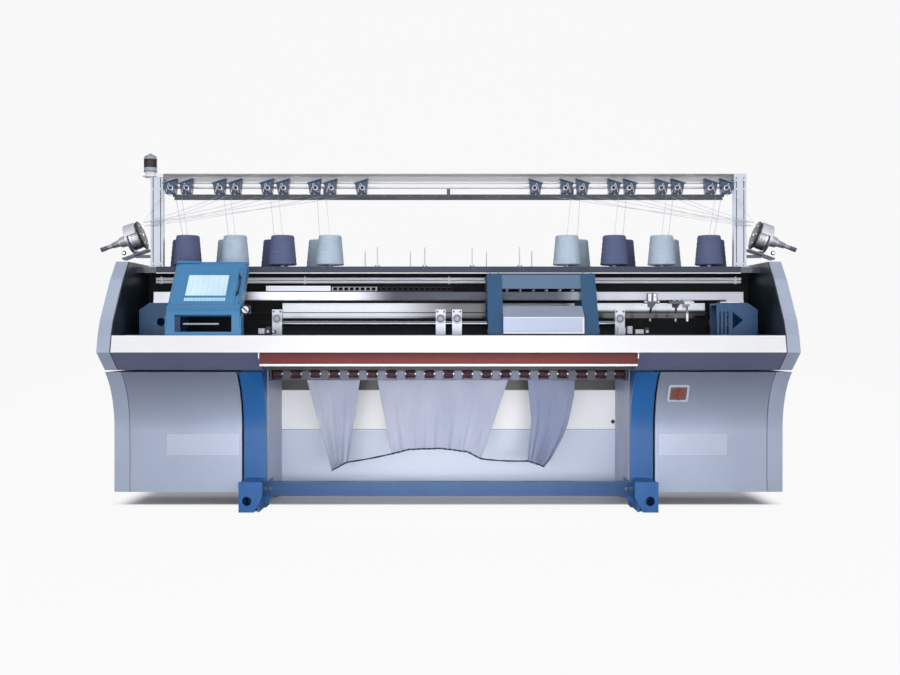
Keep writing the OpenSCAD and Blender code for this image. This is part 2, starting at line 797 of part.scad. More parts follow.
module take_down_housing() color(steel) placed() {
    rear_d = press_d + press_dia / 2 + 10;
    both_sides() difference() {
        box([bearing_x, front_beam_d + beam_d - 25, roller_z - 40], [bearing_x + 8, rear_d + 50, bed_z]);
        rod_x(bearing_x - 1, bearing_x + 9, roller_d, roller_z, journal_r + run_gap);
        rod_x(bearing_x - 1, bearing_x + 9, press_d, roller_z, 5 + run_gap);
    }
    along_x(bolt_gap - bearing_x, bearing_x - bolt_gap) polygon(folded([[rear_d + 40, roller_z - 36], [rear_d, roller_z - 36],
        [rear_d, bed_z - 2], [rear_d + 40, bed_z - 2]], -sheet_t));
    // Pale plates that stand between the rollers, and the bar that carries them
    for (i = [-roller_n:roller_n - 1])
        box([i * roller_pitch + roller_l / 2 + 8, roller_d - 18, roller_z - 34],
            [(i + 1) * roller_pitch - roller_l / 2 - 8, roller_d - 15, roller_z + 18]);
    box([bolt_gap - bearing_x, roller_d - 22, roller_z - 37], [bearing_x - bolt_gap, roller_d + 12, roller_z - 34 - bolt_gap]);
}

knit_top = apex_z - 20;

module knitted(outline) color(lavender) placed()
    along_d(gap_d - fabric_t / 2, gap_d + fabric_t / 2) polygon(outline);

left_x1 = left_sleeve_w - left_sleeve_x;

module fabric_left_sleeve() knitted([[-left_sleeve_x, knit_top], [-left_sleeve_x, bed_z - 67],
    [-left_tip_x, left_tip_z], [-left_cuff_x, left_cuff_z], [left_x1, bed_z - 67], [left_x1, knit_top]]);

module fabric_body() {
    hem = [[83 - body_left_x, hem_z], [189 - body_left_x, hem_z + 26], [-49, hem_z + 31], [96, hem_z + 12],
        [body_right_x - 157, hem_z - 29]];
    knitted(concat([[-body_left_x, knit_top], [-body_left_x, bed_z - 67]], hem,
        [[body_right_x, bed_z - 67], [body_right_x, knit_top]]));
    // Draw yarn through the hems of the three pieces
    color(slate) placed() for (step = [[[1.2 - left_cuff_x, left_cuff_z], hem[0]], [hem[4], [right_cuff_x - 0.5, right_tip_z + 37]]])
        strand([step[0][0], gap_d, step[0][1]], [step[1][0], gap_d, step[1][1]]);
}

module fabric_right_sleeve() {
    x0 = right_cuff_x;
    x1 = right_sleeve_x;
    z0 = right_tip_z;
    knitted([[x0 + 4, knit_top], [x0 + 4, bed_z - 67], [x0 + 23, z0 + 273], [x0, z0 + 34], [right_tip_x, z0],
        [right_tip_x + 41, z0 + 52], [x1 - 74, z0 + 168], [x1 - 41, z0 + 250], [x1 - 4, z0 + 413],
        [x1, bed_z - 67], [x1, knit_top]]);
}

recess_back_d = 905;

module recess_panels() color(pale) placed() {
    fold_z = 401;
    half = stand_x - sheet_t;
    box([-half, recess_back_d, fold_z + seam], [half, recess_back_d + sheet_t, bed_z]);
    box([-half, recess_back_d, crossbeam_z], [half, recess_back_d + sheet_t, fold_z]);
    box([-half, recess_back_d - sheet_t, fold_z - 58], [half, recess_back_d, fold_z - 52]);
}

module stand_inner_covers() color(slate) placed() both_sides() {
    split_d = 584;
    box([stand_x - sheet_t, face_d + 52, crossbeam_z + crossbeam_h + 2], [stand_x, split_d, bed_z]);
    box([stand_x - sheet_t, split_d + seam, crossbeam_z], [stand_x, recess_back_d + sheet_t, bed_z]);
}

fascia_z = table_z - fascia_h;

module yarn_table() color(slate) placed() {
    along_x(-fascia_x, fascia_x)
        polygon(folded([[fascia_d + 12, fascia_z], [fascia_d, fascia_z], [fascia_d, table_z], [body_d, table_z],
            [body_d, table_z - 25]], -sheet_t));
    both_sides() box([fascia_x, post_d - 40, table_z - sheet_t], [liner_x, body_d, table_z]);
}

table_tube = 34;
rod_drops = [58, 77];

module table_rails() color(steel) placed() {
    top = table_z - sheet_t;
    for (d = [fascia_d + sheet_t + 1, case_d - 50])
        along_x(-liner_x, liner_x) difference() {
            translate([d, top - table_tube]) square(table_tube);
            translate([d + 3, top - table_tube + 3]) square(table_tube - 6);
        }
    for (drop = rod_drops) rod_x(-liner_x + 60, liner_x - 60, upper_rod_d, top - drop, 8);
    for (x = [-1735, -870, 0, 870, 1727]) 
        box([x, upper_rod_d - 10, top - rod_drops[1] - 12], [x + 8, upper_rod_d + 10, top]);
}

peg_pitch = (post_x - peg_clear - cone_base / 2) / 5.5;
peg_xs = [for (i = [0.5:1:5.5]) i * peg_pitch];

module each_peg() both_sides() for (x = peg_xs) {
    translate([x, front_row_d, 0]) children();
    translate([x + row_shift, rear_row_d, 0]) children();
}

module cone_pegs() color(steel) placed() each_peg() translate([0, 0, table_z]) {
    cylinder(h = 3, r = 30);
    cylinder(h = peg_h, r = 3);
    cylinder(h = cone_z - table_z, r = 14);
}

module cone_at(x) for (p = [[x, front_row_d], [x + sign(x) * row_shift, rear_row_d]])
    translate([p[0], p[1], cone_z]) difference() {
        cylinder(h = cone_h, d1 = cone_base, d2 = cone_top);
        translate([0, 0, -1]) cylinder(h = cone_h + 2, r = 12);
    }

module dark_cones() color([0.25, 0.24, 0.36]) placed()
    for (i = [3, 5], side = [-1, 1]) cone_at(side * peg_xs[i]);

module light_cones() color([0.65, 0.76, 0.86]) placed()
    for (i = [2, 4], side = [-1, 1]) cone_at(side * peg_xs[i]);

lamp_post_cut = 20;

module post(h) {
    difference() {
        box([post_x, post_d, table_z], [post_x + post_w, post_d + post_t, table_z + h]);
        box([post_x - 1, post_d + 12, table_z - 1], [post_x + 6, post_d + post_t - 12, table_z + h + 1]);
    }
    box([post_x - 10, post_d - 10, table_z], [post_x + post_w + 10, post_d + post_t + 10, table_z + 8]);
}

module rack_posts() color(steel) placed() {
    post(rack_h - sheet_t);
    mirror([1, 0, 0]) post(rack_h - lamp_post_cut);
}

back_sheet_d = 708;

module rack_frame() color(pale) placed() {
    strip_left = -post_mid_x + 2;
    box([strip_left, post_d, rack_z - sheet_t], [post_x + post_w, back_sheet_d + sheet_t, rack_z]);
    box([strip_left, back_sheet_d, rack_z - 45], [post_x + post_w, back_sheet_d + sheet_t, rack_z]);
    box([strip_left, post_d, rack_z - lamp_post_cut], [-post_x, post_d + post_t, rack_z]);
    for (z = [tube_z, tube_z + 28]) rod_x(-post_x, post_x, post_mid_d, z, tube_dia / 2);
}

module guide_plate() color(dark) placed() {
    half = post_x - 33;
    along_z = 4;
    translate([0, 0, plate_z - along_z]) linear_extrude(along_z)
        polygon([[-half + 60, fascia_d], [half - 60, fascia_d], [half, fascia_d + 237], [-half, fascia_d + 237]]);
    for (x = [-half + 20, -pair_x[0], -10, pair_x[0] - 20, half - 40])
        box([x, post_mid_d - 3, plate_z], [x + 20, post_mid_d + 3, tube_z - tube_dia / 2]);
}

unit_xs = concat([515], [for (p = pair_x, s = [-1, 1]) p + s * unit_shift]);

// Thread control unit: a body on the tubes, a slanting top plate, a brake disc and a hook
module thread_unit() {
    front = post_mid_d - tube_dia / 2 - 72;
    back = post_mid_d - tube_dia / 2;
    z0 = plate_z + 13;
    along_d(front + 14, back) polygon([[-unit_w / 2 + 10, z0], [unit_w / 2 - 16, z0],
        [unit_w / 2 - 6, z0 + 60], [-unit_w / 2 + 4, z0 + 78]]);
    along_d(front, back) polygon([[-unit_w / 2, z0 + 92], [unit_w / 2, z0 + 64], [unit_w / 2, z0 + 58],
        [-unit_w / 2, z0 + 86]]);
    rod_d(front, front + 14, -8, z0 + 34, 22);
    box([-4, front + 16, plate_z], [4, front + 24, z0]);
}

module thread_units() color(slate) placed() {
    for (x = unit_xs) {
        translate([-x, 0, 0]) thread_unit();
        mirror([1, 0, 0]) translate([-x, 0, 0]) thread_unit();
    }
}

// Yarn from each cone to its unit, and from the rack down to the feeders
module yarn_strands() color(pale) placed() both_sides() {
    eye_d = fascia_d + 60;
    under = plate_z - 4 - yarn_dia / 2 - 0.3;
    for (i = [0:3]) {
        x = peg_xs[i + 2];
        strand([x, front_row_d, cone_z + cone_h - 10], [pair_x[i] - unit_shift / 2, eye_d, under]);
        strand([x + row_shift, rear_row_d, cone_z + cone_h - 10], [pair_x[i] + unit_shift, eye_d + 160, under]);
    }
    feed = [feeder_x - 52, post_d - 14, wheel_z + 84];
    for (x = [620, 867, 1114, 1361]) strand([x, post_d - 40, under], feed);
    for (x = [745, 1026, 1307]) strand([x, post_d - 60, under], feed + [-6, -6, -22]);
    strand([post_x - 12, post_d - 14, tube_z - 8], feed);
}

module signal_lamp() color(dark) placed() translate([-post_mid_x - 42, post_mid_d, rack_z - lamp_post_cut]) {
    translate([-lamp_r, -lamp_r, 0]) cube([2 * lamp_r, 2 * lamp_r, 6]);
    translate([0, 0, 6]) cylinder(h = 24, r = 33);
    translate([0, 0, 30]) cylinder(h = 72, r = lamp_r);
    translate([0, 0, 102]) cylinder(h = 22, r1 = lamp_r, r2 = 32);
    translate([0, 0, 124]) cylinder(h = 15, r1 = 18, r2 = 10);
}

// Local frame of a feeder: x points out along its axis
module on_feeder() translate([feeder_x, post_mid_d, wheel_z]) rotate([0, feeder_tilt, 0]) children();
module turned(x0, x1, r0, r1) translate([x0, 0, 0]) rotate([0, 90, 0]) cylinder(h = x1 - x0, r1 = r0, r2 = r1);

feeder_shaft_r = 10;

module feeder_wheel() on_feeder() difference() {
    union() {
        turned(-30, 28, wheel_r - 4, wheel_r);
        turned(-42, -30, wheel_r + 12, wheel_r + 12);
    }
    turned(-43, 29, feeder_shaft_r + run_gap, feeder_shaft_r + run_gap);
}

module feeder_housing() {
    cover_r = wheel_r + 14;
    on_feeder() {
        turned(-46, 36, feeder_shaft_r, feeder_shaft_r);
        turned(34, 44, cover_r, cover_r);
        difference() {
            turned(-24, 35, cover_r, cover_r);
            turned(-25, 33.5, wheel_r + 6, wheel_r + 6);
            box([-26, -cover_r - 1, -cover_r - 1], [34, cover_r + 1, 12]);
        }
        turned(44, 96, 36, 30);
        turned(96, 150, 22, 16);
        turned(150, feeder_reach, 11, 14);
        box([-54, -46, -cover_r - 16], [112, 46, -cover_r - 6]);
        box([34, -20, -cover_r - 8], [44, 20, -cover_r + 20]);
    }
    box([post_x + post_w, post_mid_d - 12, table_z + 58], [feeder_x + 2, post_mid_d + 12, table_z + 76]);
    box([feeder_x - 36, post_mid_d - 14, table_z + 58], [feeder_x + 2, post_mid_d + 14, wheel_z - 84]);
}

module feeder_mounts() color(steel) placed() both_sides() feeder_housing();
module right_feeder_wheel() color(dark) placed() feeder_wheel();
module left_feeder_wheel() color(dark) placed() mirror([1, 0, 0]) feeder_wheel();

arm_hook = [[cover_d, band_z + 10], [cover_d + 30, band_z + 10], [320, apex_z + 103], [422, arm_z - 36],
    [rear_guide_d - 10, arm_z - 36], [rear_guide_d - 10, band_z + 10], [rear_guide_d + 30, band_z + 10],
    [rear_guide_d + 30, arm_z], [398, arm_z], [290, apex_z + 103]];
cam_strut = [[300, block_top + 7], [356, block_top + 7], over_bed(47.7, cam_h + slide_gap),
    over_bed(14.7, cam_h + slide_gap), [378, block_top + 22], [309, block_top + 22]];
arm_xs = [carriage_x - carriage_l / 2, carriage_x + carriage_l / 2 - arm_w];

module carriage_arms() color(blue) placed() {
    rear_strut = concat(mirrored([for (i = [1:4]) cam_strut[i]]), [[rear_guide_d - 10, block_top + 22], [rear_guide_d - 10, block_top + 7]]);
    for (x = arm_xs) {
        along_x(x, x + arm_w) {
            polygon(arm_hook);
            polygon(cam_strut);
            polygon(rear_strut);
            translate([guide_d - 6, guide_z + slide_gap]) square([guide_w + 12, 26]);
            translate([rear_guide_d - 8, guide_z + slide_gap]) square([guide_w + 14, 26]);
        }
    }
    // Clamp on the drive belt
    x = arm_xs[1] + 20;
    run_z = pulley_z + pulley_r;
    for (z = [run_z - 11, run_z + belt_t + 1]) box([x, rear_guide_d + 29, z], [x + 40, belt_d + belt_w - 4, z + 10]);
    box([x, rear_guide_d + 29, run_z - 11], [x + 40, belt_d - 2, run_z + belt_t + 11]);
}

module carriage_bridge() color(pale_blue) placed() along_x(arm_xs[0] + arm_w, arm_xs[1])
    polygon([[bridge_d, arm_z - bridge_h], [bridge_d + bridge_run, arm_z - 3], [rear_guide_d + 26, arm_z - 3],
        [rear_guide_d + 26, arm_z - 3 - bridge_t], [bridge_d + bridge_run + 4, arm_z - 3 - bridge_t],
        [bridge_d + bridge_t + 1, arm_z - bridge_h - 2]]);

module carriage_cover() color(silver) placed() {
    z0 = band_z + 10;
    outline = [[cover_d, z0], [cover_d + 50, z0], [cover_d + 110, apex_z + 90], [cover_d + 107, apex_z + 90],
        [cover_d, apex_z + 25]];
    difference() {
        along_x(arm_xs[0] + arm_w, arm_xs[1]) polygon(outline);
        along_x(arm_xs[0] + arm_w + sheet_t, arm_xs[1] - sheet_t)
            polygon([[cover_d + sheet_t, z0 + sheet_t], [cover_d + 60, z0 + sheet_t], [cover_d + 120, apex_z + 87],
                [cover_d + 109, apex_z + 87], [cover_d + sheet_t, apex_z + 23]]);
    }
}

// Point over the front bed: t down the slope and n above its surface
function over_bed(t, n) = [edge_d - t - n / sqrt(2), apex_z - t + n / sqrt(2)];
cam_slab = [over_bed(12, 3), over_bed(12, cam_h), over_bed(70, cam_h), over_bed(70, 3)];

module cam_boxes() color(steel) placed() along_x(arm_xs[0] + 10, arm_xs[1] + arm_w - 10) {
    polygon(cam_slab);
    polygon(mirrored(cam_slab));
}

// Yarn carrier on rail i: a block round the rail, a cross plate and a bent finger to the gap
module yarn_carrier(i) placed() translate([carrier_x[i], 0, 0]) {
    d = rail_ds[i];
    tip = gap_d + (i - 1.5) * (finger_t + 2);
    cheek = rail_t / 2 + slide_gap;
    z0 = rail_z - 16;
    along_x(-carrier_l / 2, carrier_l / 2) polygon([[d - 18, z0], [d + 18, z0], [d + 18, rail_z + rail_h - 8],
        [d + cheek, rail_z + rail_h - 8], [d + cheek, rail_z - slide_gap], [d - cheek, rail_z - slide_gap],
        [d - cheek, rail_z + rail_h - 8], [d - 18, rail_z + rail_h - 8]]);
    along_x(-carrier_l * 0.75, carrier_l * 0.75) translate([d - 16, z0 - 6]) square([32, 6]);
    along_x(-6, 6) polygon([[d - finger_t / 2, z0 - 5], [tip - finger_t / 2, apex_z + 50],
        [tip - finger_t / 2, apex_z + 6], [tip + finger_t / 2, apex_z + 6], [tip + finger_t / 2, apex_z + 50],
        [d + finger_t / 2 + 2, z0 - 5]]);
}

module yarn_carrier_1() color(steel) yarn_carrier(0);
module yarn_carrier_2() color(steel) yarn_carrier(1);
module yarn_carrier_3() color(steel) yarn_carrier(2);

// Frame on the console's face: x along the machine, y up the face, z out of it
module on_console() translate([0, pivot[0], pivot[1]]) rotate([90 - console_lean, 0, 0])
    translate([0, 0, console_t / 2]) children();
screen_x0 = console_mid - 118;
screen_w = 228;
screen_y = 76;
screen_h = 164;
strip_y = 38;
strip_h = 26;

module console_housing() color(pale_blue) placed() {
    r = console_t / 2;
    top = pivot + face_up * console_l;
    x0 = -console_x - console_w;
    difference() {
        along_x(x0, -console_x) {
            translate(pivot) circle(r);
            polygon([pivot + face_out * r, pivot - face_out * r, top - face_out * r, top + face_out * r]);
        }
        for (x = [x0, -console_x]) rod_x(x - 26, x + 26, pivot[0], pivot[1], pivot_r + run_gap);
        on_console() {
            translate([screen_x0, screen_y, -4]) cube([screen_w, screen_h, 5]);
            translate([screen_x0, strip_y, -4]) cube([screen_w, strip_h, 5]);
            for (i = [0:1]) translate([-console_x - 38 + 20 * i, 10, -4]) cube([6, console_l - 60, 5]);
            translate([x0 + 3, r + 3, 3 - console_t]) cube([console_w - 6, console_l - r - 6, console_t - 11]);
        }
        along_x(x0 + 30, -console_x - 30) translate(pivot) circle(r - 6);
    }
    on_console() translate([x0, console_l - 14, 0]) cube([130, 14, 8]);
}

module console_screen() color("lightcyan") placed() on_console() {
    translate([screen_x0, screen_y, -4]) cube([screen_w, screen_h, 2.5]);
    translate([screen_x0, strip_y, -4]) cube([screen_w, strip_h, 2.5]);
}

module console_stand() color(blue) placed() {
    x0 = -console_x - console_w;
    front = pivot[0] - console_t / 2 - 16;
    top = pivot[1] - 6;
    difference() {
        box([x0, front, band_z], [-console_x, front + 8, top]);
        box([x0 + 45, front - 1, band_z + 20], [-console_x - 45, front + 9, top - 20]);
    }
    box([x0, front, band_z], [-console_x, cover_d - 8, band_z + 6]);
    for (x = [x0 - 8, -console_x + 2]) along_x(x, x + 6) {
        translate([front, band_z]) square([cover_d - 8 - front, 40]);
        translate([pivot[0] - 24, band_z]) square([48, pivot_h]);
        translate(pivot) circle(24);
        translate([front, band_z]) square([24, pivot_h - 32]);
    }
    for (x = [x0 - 2, -console_x]) box([x, front, band_z], [x + 2, cover_d - 8, band_z + 40]);
    rod_x(x0 - 8, x0 + 24, pivot[0], pivot[1], pivot_r);
    rod_x(-console_x - 24, -console_x + 8, pivot[0], pivot[1], pivot_r);
    // Seat of the clamping knob
    difference() {
        box([-console_x + 7, pivot[0] - 10, pivot[1] - 20], [-console_x + 52, pivot[0], pivot[1] + 24]);
        rod_d(pivot[0] - 11, pivot[0] + 1, -console_x + 30, pivot[1] + 2, 6 + run_gap);
    }
}

module tilt_knob() color(dark) placed() {
    rod_d(pivot[0] - 52, pivot[0] - 26, -console_x + 30, pivot[1] + 2, 29);
    rod_d(pivot[0] - 27, pivot[0] - 1, -console_x + 30, pivot[1] + 2, 6);
}

motor_d = inner_panel_d + sheet_t;

module drive_motor() color(slate) placed() {
    for (side = [-1, 1]) difference() {
        box([side * pulley_x - 80, motor_d, pulley_z - 80], [side * pulley_x + 80, motor_d + 12, pulley_z + 80]);
        rod_d(motor_d - 1, motor_d + 13, side * pulley_x, pulley_z, 12 + run_gap);
    }
    difference() {
        rod_d(motor_d + 12, case_d - 10, pulley_x, pulley_z, 66);
        rod_d(motor_d + 11, motor_d + 26, pulley_x, pulley_z, 12 + run_gap);
    }
}

module stadium(r) {
    both_sides() translate([pulley_x, pulley_z]) circle(r);
    translate([-pulley_x, pulley_z - r]) square([2 * pulley_x, 2 * r]);
}

module drive_belt() color(dark) placed() along_d(belt_d, belt_d + belt_w) difference() {
    stadium(pulley_r + belt_t);
    stadium(pulley_r);
}

module drive_pulleys() color(steel) placed() both_sides() {
    rod_d(belt_d, belt_d + belt_w, pulley_x, pulley_z, pulley_r - slide_gap);
    rod_d(belt_d, motor_d + 10, pulley_x, pulley_z, 12);
}

stands();
levelling_feet();
lower_crossbeam();
bed_girder();
carriage_rails();
front_needle_bed();
rear_needle_bed();
rail_brackets();
carrier_rails();
front_rod();
front_band();
front_skirts();
end_covers();
end_liners();
rear_cover();
rear_inner_panel();
cable_chain();
cabinets();
front_panels();
control_electronics();
main_switch_plate();
main_switch_knob();
engaging_bar();
bar_brackets();
take_down_roller();
press_rollers();
take_down_housing();
fabric_left_sleeve();
fabric_body();
fabric_right_sleeve();
recess_panels();
stand_inner_covers();
yarn_table();
table_rails();
cone_pegs();
dark_cones();
light_cones();
rack_posts();
rack_frame();
guide_plate();
thread_units();
yarn_strands();
signal_lamp();
feeder_mounts();
left_feeder_wheel();
right_feeder_wheel();
carriage_arms();
carriage_bridge();
carriage_cover();
cam_boxes();
yarn_carrier_1();
yarn_carrier_2();
yarn_carrier_3();
console_stand();
console_housing();
console_screen();
tilt_knob();
drive_motor();
drive_belt();
drive_pulleys();
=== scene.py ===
import math

import bmesh
import bpy
import numpy as np
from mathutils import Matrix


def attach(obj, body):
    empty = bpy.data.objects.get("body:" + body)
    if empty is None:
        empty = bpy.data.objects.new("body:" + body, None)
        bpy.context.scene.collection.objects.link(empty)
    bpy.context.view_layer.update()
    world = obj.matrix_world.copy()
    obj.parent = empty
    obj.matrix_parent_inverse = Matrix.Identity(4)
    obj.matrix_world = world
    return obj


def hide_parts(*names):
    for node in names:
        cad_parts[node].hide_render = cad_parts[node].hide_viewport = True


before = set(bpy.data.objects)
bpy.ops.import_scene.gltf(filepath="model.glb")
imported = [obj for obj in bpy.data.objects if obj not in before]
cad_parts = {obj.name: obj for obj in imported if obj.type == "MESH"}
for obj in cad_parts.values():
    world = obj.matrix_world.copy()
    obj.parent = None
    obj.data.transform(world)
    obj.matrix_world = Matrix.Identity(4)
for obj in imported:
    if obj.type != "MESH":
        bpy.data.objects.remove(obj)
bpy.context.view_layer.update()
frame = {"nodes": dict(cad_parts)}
nodes = frame["nodes"]

# The machine's own measures in millimetres: X along the bed, d behind the beam's nose, z over the floor
machine = {
    "halfDepth": 530.0,
    "gap": 470.0,
    "bedEdge": 1060.0,
    "bedHalf": 1067.0,
    "coneSeat": 1400.0,
    "endX": 1900.0,
    "caseDepth": 915.0,
    "flareRadius": 397.0,
    "flareMid": -70.0,
    "flareFoot": 450.0,
    "rollerHeight": 762.0,
    "rodBlocks": (-973.0, -44.5, 48.5, 973.0),
    "rodBlockHalf": 27.6,
}
atOrigin = (0.0, 0.0, 0.0)
toRight, toBack, toFront = (1, 0, 0), (0, 1, 0), (0, -1, 0)
toTop, toFloor = (0, 0, 1), (0, 0, -1)


# Shapes are (points, quads, caps): an array of points in machine millimetres, an array of faces with four
# corners and a list of the end faces with more.
def inMetres(points):
    # x / 1000, (d - half depth) / 1000, z / 1000
    return (np.asarray(points, float) - [0.0, machine["halfDepth"], 0.0]) / 1000.0


def gridFaces(rows, columns, wrapRows=False, wrapColumns=False):
    # face (r, c) joins points (r, c), (r + 1, c), (r + 1, c + 1) and (r, c + 1), round a closed grid
    r, c = np.meshgrid(
        np.arange(rows if wrapRows else rows - 1),
        np.arange(columns if wrapColumns else columns - 1),
        indexing="ij",
    )
    r, c = r.ravel(), c.ravel()
    nextR, nextC = (r + 1) % rows, (c + 1) % columns
    corners = [r * columns + c, nextR * columns + c, nextR * columns + nextC, r * columns + nextC]
    return np.stack(corners, 1)


def surface(points, wrapRows=False, wrapColumns=False, capped=False):
    # a grid of points, its rows' ends closed by one face each if capped
    rows, columns = points.shape[:2]
    caps = []
    if capped:
        first = [r * columns for r in range(rows)]
        caps = [first, [i + columns - 1 for i in first][::-1]]
    return points.reshape(-1, 3), gridFaces(rows, columns, wrapRows, wrapColumns), caps


def joined(shapes):
    # points end to end, and each face's numbers raised by the count of points before it
    points, quads, caps, start = [], [], [], 0
    for shapePoints, shapeQuads, shapeCaps in shapes:
        points.append(shapePoints)
        quads.append(shapeQuads + start)
        caps += [[i + start for i in cap] for cap in shapeCaps]
        start += len(shapePoints)
    return np.concatenate(points), np.concatenate(quads), caps


def repeated(shape, offsets):
    # the shape copied to each offset: point + offset
    points, quads, caps = shape
    offsets = np.asarray(offsets, float).reshape(-1, 3)
    steps = np.arange(len(offsets)) * len(points)
    return (
        (points[None] + offsets[:, None]).reshape(-1, 3),
        (quads[None] + steps[:, None, None]).reshape(-1, 4),
        [[i + int(s) for i in cap] for s in steps for cap in caps],
    )


def mirrored(shape):
    # x becomes -x, and each face is turned round
    points, quads, caps = shape
    return points * [-1.0, 1.0, 1.0], quads[:, ::-1], [cap[::-1] for cap in caps]


def bothSides(shape):
    # the shape and its mirror image across X = 0
    return joined([shape, mirrored(shape)])


def turned(shape, axis, degrees, centre):
    # right-handed rotation about an axis through a point: v cos a + (k x v) sin a + k (k . v)(1 - cos a)
    points, quads, caps = shape
    k = np.asarray(axis, float) / np.linalg.norm(axis)
    a = math.radians(degrees)
    v = points - centre
    spun = v * math.cos(a) + np.cross(k, v) * math.sin(a) + np.outer(v @ k, k) * (1 - math.cos(a))
    return spun + centre, quads, caps


def lathe(profile, centre, axis, sides=48):
    # point = centre + axis * h + radius * (e1 cos a + e2 sin a), with (h, radius) along the profile
    k = np.asarray(axis, float) / np.linalg.norm(axis)
    e1 = np.cross(k, [0.0, 0.0, 1.0] if abs(k[2]) < 0.9 else [1.0, 0.0, 0.0])
    e1 /= np.linalg.norm(e1)
    e2 = np.cross(k, e1)
    profile = np.asarray(profile, float)
    a = np.linspace(0, 2 * np.pi, sides, endpoint=False)[:, None, None]
    h, radius = profile[:, 0][None, :, None], profile[:, 1][None, :, None]
    points = np.asarray(centre, float) + k * h + radius * (e1 * np.cos(a) + e2 * np.sin(a))
    return surface(points, wrapRows=True, capped=True)


def prism(outline, lo, hi, plane):
    # an outline moved from lo to hi: (d, z) along X, (X, z) along d, or (X, d) along z
    flat = np.asarray(outline, float)
    order = {"x": (2, 0, 1), "d": (0, 2, 1), "z": (0, 1, 2)}[plane]
    ends = []
    for height in (lo, hi):
        ring = np.column_stack([flat, np.full(len(flat), float(height))])
        ends.append(ring[:, list(order)])
    return surface(np.stack(ends, 1), wrapRows=True, capped=True)


def block(lo, hi):
    # a box, drawn as its rectangle carried along z
    outline = [(lo[0], lo[1]), (hi[0], lo[1]), (hi[0], hi[1]), (lo[0], hi[1])]
    return prism(outline, lo[2], hi[2], "z")


def rounded(width, height, radius, centre=(0.0, 0.0), steps=5):
    # a rectangle whose corners are quarter circles: corner centre + radius * (cos a, sin a)
    a = np.linspace(0, np.pi / 2, steps)
    corners = []
    for i, (sx, sy) in enumerate(((1, 1), (-1, 1), (-1, -1), (1, -1))):
        mid = np.array([sx * (width / 2 - radius), sy * (height / 2 - radius)])
        corners.append(mid + radius * np.stack([np.cos(a + i * np.pi / 2), np.sin(a + i * np.pi / 2)], 1))
    return np.concatenate(corners) + centre


def tube(path, radius, sides=8):
    # a circle carried along a path: p + radius * (n cos a + b sin a), where n and b are square to the path
    path = np.asarray(path, float)
    run = np.gradient(path, axis=0)
    run /= np.linalg.norm(run, axis=1)[:, None]
    spread = np.abs(run).sum(0)
    guide = np.eye(3)[int(np.argmin(spread))]
    n = np.cross(run, guide)
    n /= np.linalg.norm(n, axis=1)[:, None]
    b = np.cross(run, n)
    a = np.linspace(0, 2 * np.pi, sides, endpoint=False)[:, None, None]
    thick = np.broadcast_to(np.asarray(radius, float), (len(path),))[None, :, None]
    points = path[None] + thick * (n[None] * np.cos(a) + b[None] * np.sin(a))
    return surface(points, wrapRows=True, capped=True)


def curved(start, end, sag, count=14):
    # start + (end - start) t, lowered by 4 sag t (1 - t)
    t = np.linspace(0, 1, count)[:, None]
    points = np.asarray(start, float) * (1 - t) + np.asarray(end, float) * t
    points[:, 2] -= (4 * sag * t * (1 - t))[:, 0]
    return points


def makePiece(
    name, shape, paint, body="machine", replaced=(), bevel=0.0, crease=38.0, closed=True
):
    # one object from a shape or a list of shapes, in the given finish
    points, quads, caps = joined(shape) if isinstance(shape, list) else shape
    mesh = bpy.data.meshes.new(name)
    mesh.from_pydata(inMetres(points).tolist(), [], quads.tolist() + caps)
    mesh.update()
    if closed:
        work = bmesh.new()
        work.from_mesh(mesh)
        bmesh.ops.recalc_face_normals(work, faces=work.faces)
        work.to_mesh(mesh)
        work.free()
    mesh.shade_smooth()
    mesh.set_sharp_from_angle(angle=math.radians(crease))
    piece = bpy.data.objects.new(name, mesh)
    bpy.context.scene.collection.objects.link(piece)
    mesh.materials.append(paint.material)
    if bevel:
        edge = piece.modifiers.new("edge", "BEVEL")
        edge.width = bevel / 1000.0
        edge.segments = 2
        edge.limit_method = "ANGLE"
        edge.angle_limit = math.radians(crease)
        edge.harden_normals = True
    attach(piece, body)
    if replaced:
        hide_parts(*replaced)
    return piece


# Shader maths: a wrapped socket, and a paint that makes its nodes
class Wire:
    def __init__(self, paint, socket):
        self.paint = paint
        self.socket = socket

    def apply(self, operation, other, swapped=False):
        # one Math node on two values
        pair = (other, self) if swapped else (self, other)
        return self.paint.node("ShaderNodeMath", {"operation": operation}, {0: pair[0], 1: pair[1]})

    def __add__(self, other):
        return self.apply("ADD", other)

    def __radd__(self, other):
        return self.apply("ADD", other, True)

    def __sub__(self, other):
        return self.apply("SUBTRACT", other)

    def __rsub__(self, other):
        return self.apply("SUBTRACT", other, True)

    def __mul__(self, other):
        return self.apply("MULTIPLY", other)

    def __rmul__(self, other):
        return self.apply("MULTIPLY", other, True)

    def sine(self):
        return self.paint.node("ShaderNodeMath", {"operation": "SINE"}, {0: self})

    def size(self):
        return self.paint.node("ShaderNodeMath", {"operation": "ABSOLUTE"}, {0: self})

    def fraction(self):
        return self.paint.node("ShaderNodeMath", {"operation": "FRACT"}, {0: self})

    def step(self, low, high):
        # 0 below low, 1 above high, smooth between
        values = {"Value": self, "From Min": low, "From Max": high}
        return self.paint.node("ShaderNodeMapRange", {"interpolation_type": "SMOOTHSTEP"}, values)


def linear(red, green, blue):
    # a screen colour from 0 to 255 as linear light: ((c + 0.055) / 1.055) ** 2.4
    c = np.array([red, green, blue]) / 255.0
    light = np.where(c <= 0.04045, c / 12.92, ((c + 0.055) / 1.055) ** 2.4)
    return (*light.tolist(), 1.0)


